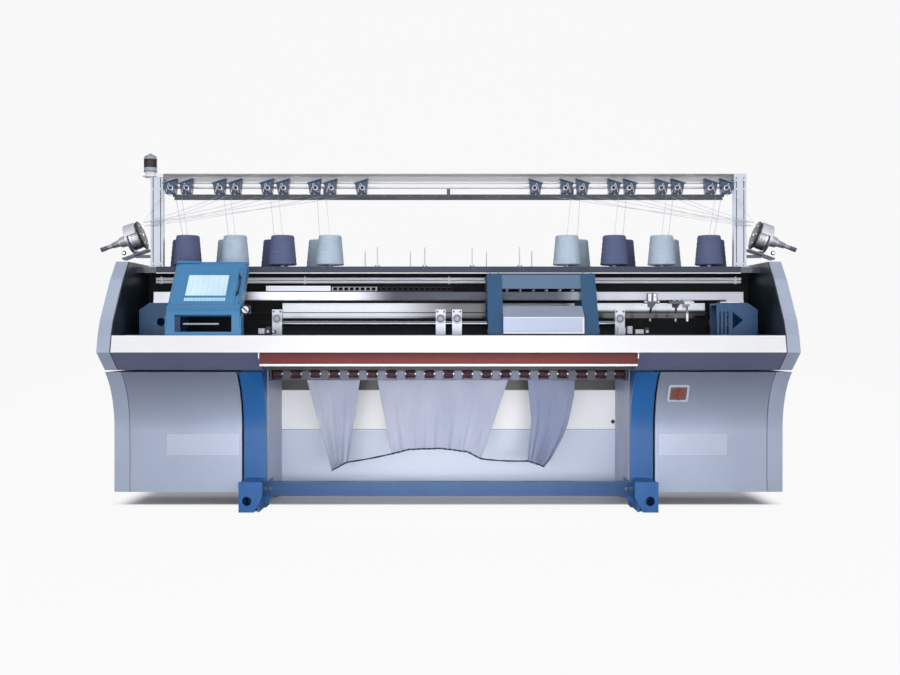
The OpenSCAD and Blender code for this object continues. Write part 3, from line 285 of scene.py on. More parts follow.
class Paint:
    def __init__(self, name, colour, roughness=0.5, metallic=0.0, coat=0.0):
        self.material = bpy.data.materials.new(name)
        self.material.use_nodes = True
        self.tree = self.material.node_tree
        self.shader = self.tree.nodes["Principled BSDF"]
        self.give("Base Color", colour)
        self.give("Roughness", roughness)
        self.give("Metallic", metallic)
        self.give("Coat Weight", coat)

    def plug(self, value, socket):
        if isinstance(value, Wire):
            self.tree.links.new(value.socket, socket)
        else:
            socket.default_value = value

    def give(self, name, value):
        self.plug(value, self.shader.inputs[name])

    def node(self, kind, settings=None, values=None, output=0):
        # a node of this kind: its settings first, then the values or links of its sockets
        made = self.tree.nodes.new(kind)
        for key, value in (settings or {}).items():
            setattr(made, key, value)
        for key, value in (values or {}).items():
            self.plug(value, made.inputs[key])
        return Wire(self, made.outputs[output])

    def place(self, stretch=(1.0, 1.0, 1.0)):
        # where a point lies on the object, times the stretch along each axis
        where = self.node("ShaderNodeTexCoord", output="Object")
        return self.node("ShaderNodeMapping", {}, {"Vector": where, "Scale": stretch})

    def axis(self, number, place="Object"):
        # one coordinate in metres: X, Y or Z of the object, or U or V of the piece's own map
        where = self.node("ShaderNodeTexCoord", output=place)
        return self.node("ShaderNodeSeparateXYZ", {}, {0: where}, number)

    def noise(self, scale, detail=3.0, stretch=(1.0, 1.0, 1.0), roughness=0.55):
        # soft clouds from 0 to 1, about this many to the metre
        values = {"Vector": self.place(stretch), "Scale": scale, "Detail": detail, "Roughness": roughness}
        return self.node("ShaderNodeTexNoise", {}, values)

    def blend(self, mask, first, second):
        # first + (second - first) * mask, channel by channel
        made = self.tree.nodes.new("ShaderNodeMix")
        made.data_type = "RGBA"
        for value, socket in ((mask, made.inputs[0]), (first, made.inputs[6]), (second, made.inputs[7])):
            self.plug(value, socket)
        return Wire(self, made.outputs[2])

    def bump(self, height, distance, strength=1.0):
        # the slope of height * distance, in metres, leans the surface's normal
        values = {"Height": height, "Distance": distance, "Strength": strength}
        self.give("Normal", self.node("ShaderNodeBump", {}, values))


def shaded(colour, factor):
    # each channel times the factor, no more than 1
    return (*[min(1.0, c * factor) for c in colour[:3]], 1.0)


def enamel(name, colour, roughness=0.36, grain=0.00006, coat=0.0, metallic=0.0, wear=0.05):
    # Powder coat: a fine orange peel, slow cloudy drift of tone, and dust that gathers near the floor
    paint = Paint(name, colour, roughness, metallic, coat)
    cloud = paint.noise(2.6, 3.0).step(0.3, 0.72)
    dust = (1.0 - paint.axis(2).step(0.02, 0.3)) * paint.noise(9.0, 4.0)
    toned = paint.blend(cloud, shaded(colour, 1 - wear), shaded(colour, 1 + wear))
    paint.give("Base Color", paint.blend(dust * 0.25, toned, linear(158, 154, 148)))
    paint.give("Roughness", roughness + 0.08 * paint.noise(30.0, 2.0) + 0.15 * dust)
    paint.bump(paint.noise(900.0, 2.0), grain)
    return paint


def hammered(name, colour):
    # Hammer-finish enamel: rounded cells 4 mm across over a smooth coat
    paint = Paint(name, colour, 0.34)
    values = {"Vector": paint.place(), "Scale": 260.0}
    cells = paint.node("ShaderNodeTexVoronoi", {"feature": "SMOOTH_F1"}, values)
    cloud = paint.noise(4.0, 3.0).step(0.3, 0.7)
    mottled = paint.blend(cells.step(0.1, 0.7), shaded(colour, 1.12), shaded(colour, 0.86))
    paint.give("Base Color", paint.blend(cloud * 0.3, mottled, shaded(colour, 0.8)))
    paint.give("Roughness", 0.28 + 0.14 * cells)
    paint.bump(cells, 0.00022, 0.7)
    return paint


def ground(name, colour, roughness=0.28, stretch=(1.0, 60.0, 60.0)):
    # Ground steel: long fine streaks along the grinding direction and a few duller patches of oil
    paint = Paint(name, colour, roughness, 1.0)
    streak = paint.noise(14.0, 4.0, stretch)
    oil = paint.noise(5.0, 3.0).step(0.45, 0.7)
    paint.give("Base Color", paint.blend(streak, shaded(colour, 0.82), shaded(colour, 1.1)))
    paint.give("Roughness", roughness + 0.16 * streak + 0.1 * oil)
    paint.bump(streak, 0.00003, 0.6)
    return paint


def moulded(name, colour, roughness=0.45):
    # Moulded plastic: spark-eroded grain and a slight drift of gloss
    paint = Paint(name, colour, roughness)
    grain = paint.noise(1300.0, 2.0)
    drift = paint.noise(18.0, 2.0)
    paint.give("Base Color", paint.blend(drift, shaded(colour, 0.92), shaded(colour, 1.08)))
    paint.give("Roughness", roughness + 0.12 * drift)
    paint.bump(grain, 0.00005, 0.6)
    return paint


def rubbery(name, colour, ribs=0.0):
    # Rubber: matt, with chalky scuffs, and ribs along the roller's length where they are asked for
    paint = Paint(name, colour, 0.72)
    scuff = paint.noise(70.0, 4.0).step(0.5, 0.75)
    paint.give("Base Color", paint.blend(scuff * 0.35, colour, linear(128, 104, 98)))
    paint.give("Roughness", 0.6 + 0.25 * scuff)
    height = paint.noise(600.0, 2.0)
    if ribs:
        height = height * 0.3 + (paint.axis(0) * ribs).sine()
    paint.bump(height, 0.0003, 0.6)
    return paint


def wound(name, dark, light):
    # Cross-wound yarn in the cone's own UV map: two sets of helices cross, with fuzz between the strands
    paint = Paint(name, dark, 0.82)
    around, along = paint.axis(0, "UV"), paint.axis(1, "UV")
    rising = ((around * 14.0 + along * 62.0) * 6.2832).sine()
    falling = ((around * 14.0 - along * 62.0) * 6.2832).sine()
    bands = (along * 9.0 + around * 2.0).fraction().step(0.35, 0.65)
    fuzz = paint.noise(420.0, 3.0)
    lay = rising * bands + falling * (1.0 - bands)
    paint.give("Base Color", paint.blend((lay * 0.3 + 0.35 + 0.4 * fuzz).step(0.1, 1.0), dark, light))
    paint.give("Roughness", 0.75 + 0.2 * fuzz)
    paint.bump(lay + fuzz, 0.0006, 0.8)
    return paint


def knitted(name, face, shadow):
    # Plain knit in the sheet's UV map, in metres: each wale is 2.4 mm wide and each course 1.8 mm high. A
    # stitch is a V: the height follows sin(course + |distance from the wale's middle|)
    paint = Paint(name, face, 0.9)
    across, up = paint.axis(0, "UV"), paint.axis(1, "UV")
    wale = ((across * 417.0).fraction() - 0.5).size()
    course = ((up * 555.0 + wale * 1.1) * 6.2832).sine()
    valley = wale.step(0.34, 0.5)
    fold = paint.noise(7.0, 3.0, (1.0, 1.0, 0.35))
    tone = (0.5 + 0.5 * course) * (1.0 - valley)
    # the stitches' V, the valleys between wales and the cloudy folds are painted between the face and
    # shadow colours: painted light and shade
    stitchLightAndShade = paint.blend((0.62 * tone + 0.5 * fold).step(0.1, 0.9), shadow, face)
    paint.give("Base Color", stitchLightAndShade)
    paint.give("Roughness", 0.84 + 0.1 * fold)
    paint.bump(course * 0.5 - valley + 0.4 * fold, 0.0006, 0.8)
    return paint


finishes = {
    "silver": linear(170, 180, 202),
    "white": linear(238, 238, 240),
    "blue": linear(22, 92, 158),
    "armBlue": linear(0, 72, 116),
    "bracketBlue": linear(8, 74, 124),
    "inner": linear(178, 186, 212),
    "rod": linear(232, 236, 243),
    "beamBlue": linear(4, 70, 122),
    "lightBlue": linear(54, 126, 176),
    "bridge": linear(84, 112, 144),
    "slate": linear(94, 101, 129),
    "fascia": linear(52, 62, 82),
    "recess": linear(252, 253, 254),
    "recessFoot": linear(206, 216, 235),
    "black": linear(26, 29, 35),
    "liner": linear(26, 38, 46),
    "maroon": linear(96, 13, 11),
    "casting": linear(176, 181, 190),
}
silver = enamel("silver_powder_coat", finishes["silver"], 0.34, metallic=0.25)
white = enamel("white_powder_coat", finishes["white"], 0.3, wear=0.02)
slate = enamel("slate_powder_coat", finishes["slate"], 0.4)
bridgePaint = enamel("grey_blue_paint", finishes["bridge"], 0.3)
recessPaint = enamel("recess_white_paint", finishes["recess"], 0.32, wear=0.02)
height = recessPaint.axis(2)
recessTone = recessPaint.blend(height.step(0.399, 0.402), finishes["recessFoot"], finishes["recess"])
# above 0.645 m the panel is painted near black: painted shadow in the gap under the rollers
recessPaint.give("Base Color", recessPaint.blend(height.step(0.643, 0.646), recessTone, linear(8, 9, 11)))
fasciaPaint = enamel("fascia_powder_coat", finishes["fascia"], 0.5)
postPaint = enamel("post_silver_paint", linear(196, 200, 212), 0.3, metallic=0.5, wear=0.02)
housingPaint = enamel("take_down_grey_paint", linear(92, 99, 125), 0.36)
# the housing is painted darker towards both ends: painted shade
endShade = housingPaint.axis(0).size().step(0.35, 0.85)
housingPaint.give("Base Color", housingPaint.blend(endShade, linear(96, 102, 127), linear(48, 52, 70)))
black = enamel("black_satin_paint", finishes["black"], 0.42)
liner = enamel("black_liner_paint", finishes["liner"], 0.3)
mattBlack = enamel("matt_black_paint", linear(13, 15, 19), 0.7)
maroon = enamel("maroon_satin_paint", finishes["maroon"], 0.5)
lightBlue = enamel("light_blue_paint", finishes["lightBlue"], 0.34)
casting = enamel("grey_casting_enamel", finishes["casting"], 0.4, grain=0.0002)
blue = hammered("blue_hammer_enamel", finishes["blue"])
armBlue = hammered("carriage_blue_enamel", finishes["armBlue"])
beamBlue = hammered("beam_blue_enamel", finishes["beamBlue"])
bracketBlue = hammered("bracket_blue_enamel", finishes["bracketBlue"])
innerPaint = enamel("inner_cover_paint", finishes["inner"], 0.36)
# The table's tubes are slate grey, and the two bright rods hang below them; the rods also glow faintly:
# painted reflection
rodPaint = enamel("polished_rod_painted_glow", finishes["rod"], 0.16, coat=0.5, wear=0.02)
over = rodPaint.axis(2).step(1.336, 1.338)
rodPaint.give("Base Color", rodPaint.blend(over, finishes["rod"], finishes["fascia"]))
rodPaint.give("Emission Color", rodPaint.blend(over, linear(226, 230, 240), linear(0, 0, 0)))
rodPaint.give("Emission Strength", 0.2)
# The lift-off panels are painted darker towards the flare: painted shade under the hood
panelPaint = enamel("panel_silver_coat", finishes["silver"], 0.32, metallic=0.35, wear=0.03)
rise = panelPaint.axis(2).step(0.44, 0.79)
drift = panelPaint.noise(2.2, 3.0).step(0.3, 0.7)
lowTone = panelPaint.blend(drift, shaded(finishes["silver"], 0.95), shaded(finishes["silver"], 1.04))
panelPaint.give("Base Color", panelPaint.blend(rise, lowTone, shaded(finishes["silver"], 0.62)))
feederPaint = enamel("feeder_grey_enamel", linear(168, 172, 186), 0.26, grain=0.0002, metallic=0.5)
# The polished feeders are painted bright above their middle and dark below it: painted highlight and
# painted shade
paintedTopLight = feederPaint.axis(2).step(1.5, 1.575)
feederPaint.give("Base Color", feederPaint.blend(paintedTopLight, linear(92, 97, 110), linear(236, 238, 244)))
steel = ground("ground_steel", linear(205, 208, 214))
railSteel = ground("rail_steel", linear(166, 169, 180), 0.3)
# The rails carry painted reflection and painted shade: bright on the left, dark in the middle and half
# bright on the right
along = railSteel.axis(0)
paintedShade = along.step(-0.62, -0.3) * (1.0 - 0.6 * along.step(0.6, 0.9))
railSteel.give("Base Color", railSteel.blend(paintedShade, linear(206, 209, 218), linear(70, 73, 83)))
darkSteel = ground("blued_steel", linear(96, 101, 112), 0.34)
shadeSteel = ground("shaded_steel", linear(44, 47, 53), 0.4)
# The front rod is polished steel, and its four clamp blocks are cast: the mask is 1 outside every block
rodSteel = ground("rod_steel", linear(150, 155, 164), 0.1)
beyond = 1.0
blockHalf = machine["rodBlockHalf"] / 1000
for middle in machine["rodBlocks"]:
    beyond = (rodSteel.axis(0) - middle / 1000).size().step(blockHalf - 0.0002, blockHalf + 0.0002) * beyond
rodSteel.give("Base Color", rodSteel.blend(beyond, linear(196, 200, 212), linear(132, 137, 148)))
rodSteel.give("Metallic", 0.35 + beyond * 0.65)
rodSteel.give("Roughness", 0.34 - beyond * 0.26)
needleSteel = ground("needle_steel", linear(150, 154, 163), 0.3, (60.0, 1.0, 1.0))
chrome = ground("bright_chrome", linear(226, 228, 232), 0.12)
wheelSteel = ground("wheel_steel", linear(226, 229, 236), 0.3)
# the feeder wheels are painted the same way, bright above and dark below: painted highlight and painted
# shade
paintedTopLight = wheelSteel.axis(2).step(1.47, 1.56)
wheelSteel.give("Base Color", wheelSteel.blend(paintedTopLight, linear(70, 74, 86), linear(240, 242, 247)))
blackPlastic = moulded("black_plastic", linear(30, 31, 35))
slatePlastic = moulded("slate_plastic", linear(67, 88, 122), 0.4)
palePlastic = moulded("pale_plastic", linear(232, 232, 236))
greyPlastic = moulded("grey_plastic", linear(150, 156, 168))
orangePlastic = moulded("orange_plastic", linear(214, 96, 44), 0.35)
switchPlastic = moulded("switch_plate_plastic", linear(198, 204, 218), 0.4)
knobPlastic = moulded("switch_knob_plastic", linear(142, 74, 62), 0.35)
wellPlastic = moulded("switch_well_plastic", linear(118, 92, 88), 0.4)
keyPlastic = moulded("pale_cyan_keys", linear(150, 214, 230), 0.4)
redRubber = rubbery("red_rubber", linear(58, 26, 38), 900.0)
blackRubber = rubbery("black_rubber", linear(36, 36, 38))
ceramic = Paint("eyelet_ceramic", linear(244, 243, 240), 0.12, 0.0, 0.6)
ceramic.give("Roughness", 0.1 + 0.1 * ceramic.noise(60.0, 2.0))
darkYarn = wound("dark_wound_yarn", linear(74, 82, 118), linear(120, 130, 168))
paleYarn = wound("pale_wound_yarn", linear(176, 198, 220), linear(214, 230, 244))
singleYarn = moulded("single_yarn", linear(206, 211, 226), 0.8)
knitCloth = knitted("knitted_cloth", linear(196, 201, 217), linear(138, 146, 174))
shadeCloth = knitted("knitted_cloth_in_shade", linear(164, 172, 196), linear(104, 114, 148))
drawYarn = moulded("draw_yarn", linear(44, 48, 68), 0.8)
screenGlow = Paint("display_window", linear(168, 195, 212), 0.18, 0.0, 0.5)
screenGlow.give("Emission Strength", 0.3)
# the page on display: rows 11 mm apart, wide columns, and a paler middle, all faint
rows = (screenGlow.axis(2) * 571.0).sine().step(0.75, 0.95)
columns = (screenGlow.axis(0) * 209.0).sine().step(0.94, 1.0)
middleTone = screenGlow.noise(5.0, 1.0).step(0.3, 0.7)
pageTone = (rows + columns) * 0.4 + middleTone * 0.25
screenGlow.give("Base Color", screenGlow.blend(pageTone, linear(190, 214, 224), linear(132, 172, 194)))
screenGlow.give("Emission Color", screenGlow.blend(pageTone, linear(190, 216, 228), linear(130, 176, 200)))
paleSilver = enamel("name_plate_silver", linear(186, 195, 216), 0.28, metallic=0.25, wear=0.02)
maroonDark = enamel("maroon_end_paint", linear(112, 52, 47), 0.35)
paleLens = moulded("pale_lens", linear(168, 174, 188), 0.2)
darkLens = moulded("dark_lens", linear(46, 34, 42), 0.2)
whiteWithPaintedGlow = enamel("gloss_white_painted_glow", linear(238, 240, 244), 0.12, coat=0.5, wear=0.02)
# The gloss sheet carries painted reflection and painted shade: bright on the left, dark in the middle, dark
# only in its lower part on the right and darker at its foot, and it glows faintly as painted light
along, height = whiteWithPaintedGlow.axis(0), whiteWithPaintedGlow.axis(2)
right = along.step(0.7, 0.8)
lowRight = (1.0 - height.step(1.13, 1.145)) * right
foot = 1.0 - height.step(1.094, 1.106)
paintedShade = along.step(-0.4, 0.06) * (1.0 - right) * 0.88 + lowRight * 0.96 + foot * 0.4
whiteWithPaintedGlow.give("Base Color", whiteWithPaintedGlow.blend(paintedShade, linear(236, 239, 243), linear(22, 26, 34)))
whiteWithPaintedGlow.give("Emission Color", whiteWithPaintedGlow.blend(paintedShade, linear(222, 230, 242), linear(4, 5, 8)))
whiteWithPaintedGlow.give("Emission Strength", 0.6)

# The usual slot name of each finish, kept on the paint
usualSlots = {
    "bright_steel": (steel, darkSteel, shadeSteel, needleSteel, chrome),
    "black_plastic": (blackPlastic, wheelSteel),
    "pale_plastic": (palePlastic, ceramic, keyPlastic, switchPlastic, wellPlastic),
    "slate_plastic": (slatePlastic, greyPlastic),
    "orange_plastic": (orangePlastic, knobPlastic),
    "dark_plastic": (paleLens, darkLens),
    "dark_frame": (black,),
    "cast_frame": (casting,),
    "blue_frame": (blue,),
    "white_cover": (white, whiteWithPaintedGlow),
    "silver_cover": (silver, paleSilver),
    "maroon_cover": (maroonDark,),
    "light_blue_cover": (lightBlue, slate),
    "red_rubber": (redRubber,),
    "black_rubber": (blackRubber,),
    "dark_yarn": (darkYarn,),
    "light_yarn": (paleYarn,),
    "pale_yarn": (singleYarn,),
    "knitted_fabric": (knitCloth, shadeCloth, drawYarn),
}
for slotName, paints in usualSlots.items():
    for paint in paints:
        paint.slotName = slotName

nodePaint = {
    "stands": blue,
    "levelling_feet": steel,
    "lower_crossbeam": beamBlue,
    "bed_girder": black,
    "carriage_rails": darkSteel,
    "front_needle_bed": shadeSteel,
    "rear_needle_bed": darkSteel,
    "rail_brackets": bracketBlue,
    "carrier_rails": railSteel,
    "front_rod": rodSteel,
    "front_band": white,
    "front_skirts": slate,
    "end_covers": silver,
    "end_liners": liner,
    "rear_cover": silver,
    "rear_inner_panel": mattBlack,
    "cable_chain": blackPlastic,
    "cabinets": silver,
    "front_panels": panelPaint,
    "control_electronics": casting,
    "main_switch_plate": switchPlastic,
    "main_switch_knob": knobPlastic,
    "engaging_bar": maroon,
    "bar_brackets": steel,
    "take_down_roller": redRubber,
    "press_rollers": blackRubber,
    "take_down_housing": housingPaint,
    "recess_panels": recessPaint,
    "stand_inner_covers": innerPaint,
    "yarn_table": fasciaPaint,
    "table_rails": rodPaint,
    "cone_pegs": steel,
    "rack_posts": postPaint,
    "rack_frame": white,
    "guide_plate": darkSteel,
    "thread_units": slatePlastic,
    "signal_lamp": blackPlastic,
    "feeder_mounts": feederPaint,
    "left_feeder_wheel": greyPlastic,
    "right_feeder_wheel": greyPlastic,
    "carriage_arms": armBlue,
    "carriage_bridge": bridgePaint,
    "carriage_cover": silver,
    "cam_boxes": casting,
    "yarn_carrier_1": darkSteel,
    "yarn_carrier_2": darkSteel,
    "yarn_carrier_3": steel,
    "console_stand": lightBlue,
    "console_housing": lightBlue,
    "console_screen": screenGlow,
    "tilt_knob": blackPlastic,
    "drive_motor": casting,
    "drive_belt": blackRubber,
    "drive_pulleys": steel,
}
for name, paint in nodePaint.items():
    nodes[name].data.materials.clear()
    nodes[name].data.materials.append(paint.material)
print("finishes on", len(nodePaint), "frame nodes")

# Yarn cones: a paper core, the wound body with a rounded shoulder, and cross-wound yarn on its own UV map
cone = {
    "baseDiameter": 165.0,
    "topDiameter": 133.0,
    "height": 175.0,
    "coreRadius": 13.0,
    "shoulder": 7.0,
    "pegPitch": 281.0,
    "frontRow": 600.0,
    "rearRow": 900.0,
    "rowShift": 95.0,
    "dark": (3, 5),
    "pale": (2, 4),
}


def coneProfile():
    # (height, radius): core bore, flat foot, straight side, quarter-round shoulder and a dished top
    base, top, high = cone["baseDiameter"] / 2, cone["topDiameter"] / 2, cone["height"]
    s, core = cone["shoulder"], cone["coreRadius"]
    a = np.linspace(0, np.pi / 2, 6)
    side = np.stack([np.linspace(4, high - s, 24), np.linspace(base, top + 1.0, 24)], 1)
    side[:, 1] += 0.9 * np.sin(side[:, 0] * 0.21)
    shoulder = np.stack([high - s + s * np.sin(a), top - s + s * np.cos(a)], 1)
    foot = [(0.0, core), (0.0, base - 5.0), (1.5, base - 1.5)]
    dish = [(high - 1.5, top - 24.0), (high - 5.0, core + 9.0), (high - 5.0, core)]
    return np.concatenate([foot, side, shoulder, dish])


def unwrapRound(piece, centres, base, height):
    # u = angle about the nearest centre / full turn, v = (z - base) / height, the seam closed face by face
    mesh = piece.data
    layer = mesh.uv_layers.new(name="wound")
    points = np.zeros(len(mesh.vertices) * 3, np.float32)
    mesh.vertices.foreach_get("co", points)
    points = points.reshape(-1, 3)
    corner = np.zeros(len(mesh.loops), np.int32)
    mesh.loops.foreach_get("vertex_index", corner)
    middles = inMetres(np.column_stack([centres, np.zeros(len(centres))]))[:, :2]
    far = np.linalg.norm(points[:, None, :2] - middles[None], axis=2)
    away = points[:, :2] - middles[far.argmin(1)]
    u = (np.arctan2(away[:, 1], away[:, 0]) / (2 * np.pi) + 0.5)[corner]
    v = ((points[:, 2] - base / 1000) / (height / 1000))[corner]
    starts = np.zeros(len(mesh.polygons), np.int32)
    sizes = np.zeros(len(mesh.polygons), np.int32)
    mesh.polygons.foreach_get("loop_start", starts)
    mesh.polygons.foreach_get("loop_total", sizes)
    owner = np.repeat(np.arange(len(starts)), sizes)
    low = np.minimum.reduceat(u, starts)
    high = np.maximum.reduceat(u, starts)
    torn = (high - low > 0.5)[owner]
    u = np.where(torn & (u < 0.5), u + 1.0, u)
    layer.data.foreach_set("uv", np.stack([u, v], 1).astype(np.float32).ravel())


def coneSpots(rows):
    # front row at pitch * (row + 1/2), rear row shifted outwards, both sides
    spots = []
    for row in rows:
        x = cone["pegPitch"] * (row + 0.5)
        for side in (-1, 1):
            spots += [(side * x, cone["frontRow"]), (side * (x + cone["rowShift"]), cone["rearRow"])]
    return np.array(spots)


def makeCones():
    # a wound body and its core turned once, then copied to every peg that holds one
    seat = (0, 0, machine["coneSeat"])
    body = lathe(coneProfile(), seat, toTop, 64)
    lip = cone["height"] + 3.0
    wall = [(-0.5, 12.4), (-0.5, 13.2), (lip, 13.2), (lip + 1.0, 12.8), (lip, 12.0), (-0.5, 12.0)]
    core = lathe(wall, seat, toTop, 32)
    kinds = (("dark_cones", cone["dark"], darkYarn), ("light_cones", cone["pale"], paleYarn))
    for name, rows, paint in kinds:
        spots = coneSpots(rows)
        offsets = np.column_stack([spots, np.zeros(len(spots))])
        piece = makePiece("wound_" + name, repeated(body, offsets), paint, replaced=(name,), crease=60)
        unwrapRound(piece, spots, machine["coneSeat"], cone["height"])
        makePiece("core_" + name, repeated(core, offsets), palePlastic)


makeCones()
print("cones wound")

# Storage feeders stand outside both posts, turned about d so that their grips point outwards and down
feeder = {"x": 1858.0, "d": 620.0, "z": 1567.0, "tilt": 20.0, "wheel": 74.0}

# Thread rack: control units, eyelets and the yarn itself
rack = {
    "pairs": (745.0, 1026.0, 1307.0, 1597.0),
    "pairShift": 47.0,
    "lone": 515.0,
    "unitFront": 540.5,
    "unitBack": 612.5,
    "unitFoot": 1820.0,
    "plateTop": 1807.0,
    "nearHoles": 560.0,
    "farHoles": 720.0,
    "tubeHeight": 1863.0,
    "tubeDepth": 620.0,
    "postEdges": (1708.0, 1752.0),
    "strand": 1.1,
}
unitPlaces = np.array([rack["lone"]] + [p + s * rack["pairShift"] for p in rack["pairs"] for s in (-1, 1)])


def threadUnit():
    # one control unit about X = 0, as lists of shapes by finish
    z, front, back = rack["unitFoot"], rack["unitFront"], rack["unitBack"]
    shell = prism([(-32, z), (26, z), (36, z + 60), (-38, z + 78)], front + 14, back, "d")
    slot = prism([(-14, z + 44), (14, z + 44), (14, z + 50), (-14, z + 50)], front + 12.5, front + 15, "d")
    lid = prism([(-42, z + 92), (42, z + 64), (42, z + 58), (-42, z + 86)], front + 1, back + 4, "d")
    tubePlace = (22, rack["tubeDepth"], rack["tubeHeight"])
    clamp = lathe([(-12, 15), (-12, 10), (12, 10), (12, 15)], tubePlace, toRight, 24)
    disc = [(0, 4), (0, 14), (2, 15), (3, 13), (3.5, 5)]
    discs = [lathe(disc, (-8, front + 13 - k, z + 32), toFront, 28) for k in (0, 6)]
    knob = lathe([(0, 5), (0, 10), (9, 9), (10.5, 7), (10.5, 0.5)], (-8, front + 5, z + 32), toFront, 20)
    lamp = lathe([(0, 4), (5, 4), (7, 2.5), (7.6, 0.4)], (20, front + 14, z + 18), toFront, 14)
    # the tension arm: X = -24 - 22 t, z falls by 34 t^1.5, with a wire loop at its end
    t = np.linspace(0, 1, 12)
    arm = np.stack([-24 - 22 * t, np.full(12, front + 8), z + 26 - 34 * t**1.5], 1)
    a = np.linspace(0.4, 5.6, 12)
    loop = np.stack([-46 + 5 * np.cos(a), np.full(12, front + 8), z - 12 + 5 * np.sin(a)], 1)
    levers = [tube([(x, front + 9, z + 4), (4, front + 9, z + 60)], 2.4, 8) for x in (-26, 20)]
    neck = tube([(0, front + 20, z + 2), (0, front + 20, rack["plateTop"] - 2)], 4.0, 10)
    return {
        "shell": [shell, slot],
        "lid": [lid],
        "steel": discs + levers + [tube(arm, 1.3, 6), tube(loop, 1.2, 6), neck],
        "knob": [knob, clamp],
        "lamp": [lamp],
    }


def makeRack():
    # each finish of the eighteen thread units is one piece, copied along the rack and mirrored
    unit = threadUnit()
    right = np.column_stack([unitPlaces, np.zeros((len(unitPlaces), 2))])
    looks = {
        "shell": (slatePlastic, ("thread_units",), 1.5),
        "lid": (greyPlastic, (), 1.0),
        "steel": (steel, (), 0.0),
        "knob": (blackPlastic, (), 0.0),
        "lamp": (orangePlastic, (), 0.0),
    }
    for part, (paint, replaced, bevel) in looks.items():
        flock = bothSides(repeated(joined(unit[part]), right))
        makePiece("thread_unit_" + part, flock, paint, replaced=replaced, bevel=bevel)
    # ceramic eyelets along the guide plate's front edge and over each pair
    lip = [(-3, 4.5), (-3, 7), (3, 7), (3, 4.5), (1.5, 3.4), (-1.5, 3.4), (-3, 4.5)]
    ring = lathe(lip, atOrigin, toTop, 14)
    under = rack["plateTop"] - 2
    eyes = [(x, rack["nearHoles"], under) for x in np.linspace(-1520, 1520, 41)]
    for s in (-1, 1):
        eyes += [(s * x, rack["farHoles"], under) for x in unitPlaces[1:]]
    makePiece("guide_eyelets", repeated(ring, eyes), ceramic)
    # bolts of the rack, the slots of the posts and the clamps of the tubes
    bolt = lathe([(0, 0.5), (0, 7), (4, 7), (5, 6), (5, 0.5)], atOrigin, toFront, 12)
    spots = [(s * x, 600, z) for s in (-1, 1) for x in rack["postEdges"] for z in (1408, 1852, 1905)]
    clearOfLamp = [s for s in spots if not (s[0] < 0 and s[2] > 1900)]
    makePiece("post_bolts", repeated(bolt, clearOfLamp), steel)
    slots = [block((x - 2.2, 598.9, 1389), (x + 2.2, 600.4, 1922)) for x in rack["postEdges"]]
    makePiece("post_slots", bothSides(joined(slots)), black)
    clamps = bothSides(prism(rounded(26, 56, 6, (1680, 1877)), 606, 634, "d"))
    makePiece("tube_clamps", clamps, blackPlastic, bevel=1.5)


makeRack()
print("thread rack fitted")


# Yarn: two strands up from each pair of cones, and a fan down to each feeder, each with a little slack
def makeYarn():
    # from the cones' tops to the guide plate's holes and on to the feeder, mirrored for the left side
    under = rack["plateTop"] - 6
    feed = np.array([feeder["x"] - 52, 586.0, feeder["z"] + 84])
    top = machine["coneSeat"] + cone["height"] - 4
    strands = []
    for row, pair in zip(range(2, 6), rack["pairs"]):
        x = cone["pegPitch"] * (row + 0.5)
        near = [x, cone["frontRow"], top]
        far = [x + cone["rowShift"], cone["rearRow"], top]
        strands.append(curved(near, [pair - 23, rack["nearHoles"], under], 3.0))
        strands.append(curved(far, [pair + 47, rack["farHoles"], under], 5.0))
    for i, x in enumerate((620, 867, 1114, 1361)):
        strands.append(curved([x, 560, under], feed, 10.0 - i, 20))
    for i, x in enumerate((745, 1026, 1307)):
        strands.append(curved([x, 540, under], feed + [-6, -6, -22], 14.0 - 2 * i, 20))
    strands.append(curved([1673, 586, rack["tubeHeight"] - 8], feed, 3.0))
    shape = bothSides(joined([tube(path, rack["strand"], 6) for path in strands]))
    makePiece("yarn_ends", shape, singleYarn, replaced=("yarn_strands",))


makeYarn()
print("yarn threaded")

# Take-down: a steel shaft with ribbed rubber rollers, their collars, and the press rollers behind the cloth
takeDown = {
    "length": 50.0,
    "pitch": 110.0,
    "count": 9,
    "rib": 0.6,
    "reach": 1021.0,
    "main": {"radius": 25.0, "depth": 442.6, "shaft": 11.0, "journal": 7.9},
    "press": {"radius": 15.0, "depth": 487.4, "shaft": 8.0, "journal": 4.9},
}


def rollerProfile(radius, length, rib):
    # (x, radius): rounded ends, and shallow grooves every few millimetres: radius - rib * sin^2
    half = length / 2
    x = np.linspace(-half + 3, half - 3, 45)
    body = np.stack([x, radius - rib * np.sin(x * 2 * np.pi / 5.5) ** 2], 1)
    ends = np.array([(-half, 9.0), (-half, radius - 3), (-half + 1, radius - 1)])
    return np.concatenate([ends, body, ends[::-1] * [-1, 1]])


def makeRollers(name, body, paint, facts):
    # tyres at an even pitch, a collar beside each, and the shaft that steps down to its journals
    middle = (0, facts["depth"], machine["rollerHeight"])
    places = [(i * takeDown["pitch"], 0, 0) for i in range(-takeDown["count"], takeDown["count"] + 1)]
    tyre = lathe(rollerProfile(facts["radius"], takeDown["length"], takeDown["rib"]), middle, toRight, 40)
    makePiece(name + "_tyres", repeated(tyre, places), paint, body, (name,))
    end, thick, thin = takeDown["reach"], facts["shaft"], facts["journal"]
    half = [(-end, 0.5), (-end, thin), (10 - end, thin), (10 - end, thick)]
    bar = lathe(half + [(-x, r) for x, r in half[::-1]], middle, toRight, 24)
    collar = lathe([(25.5, thick), (25.5, thick + 3), (31, thick + 3), (31, thick)], middle, toRight, 24)
    makePiece(name + "_shaft", [bar, repeated(collar, places)], steel, body)


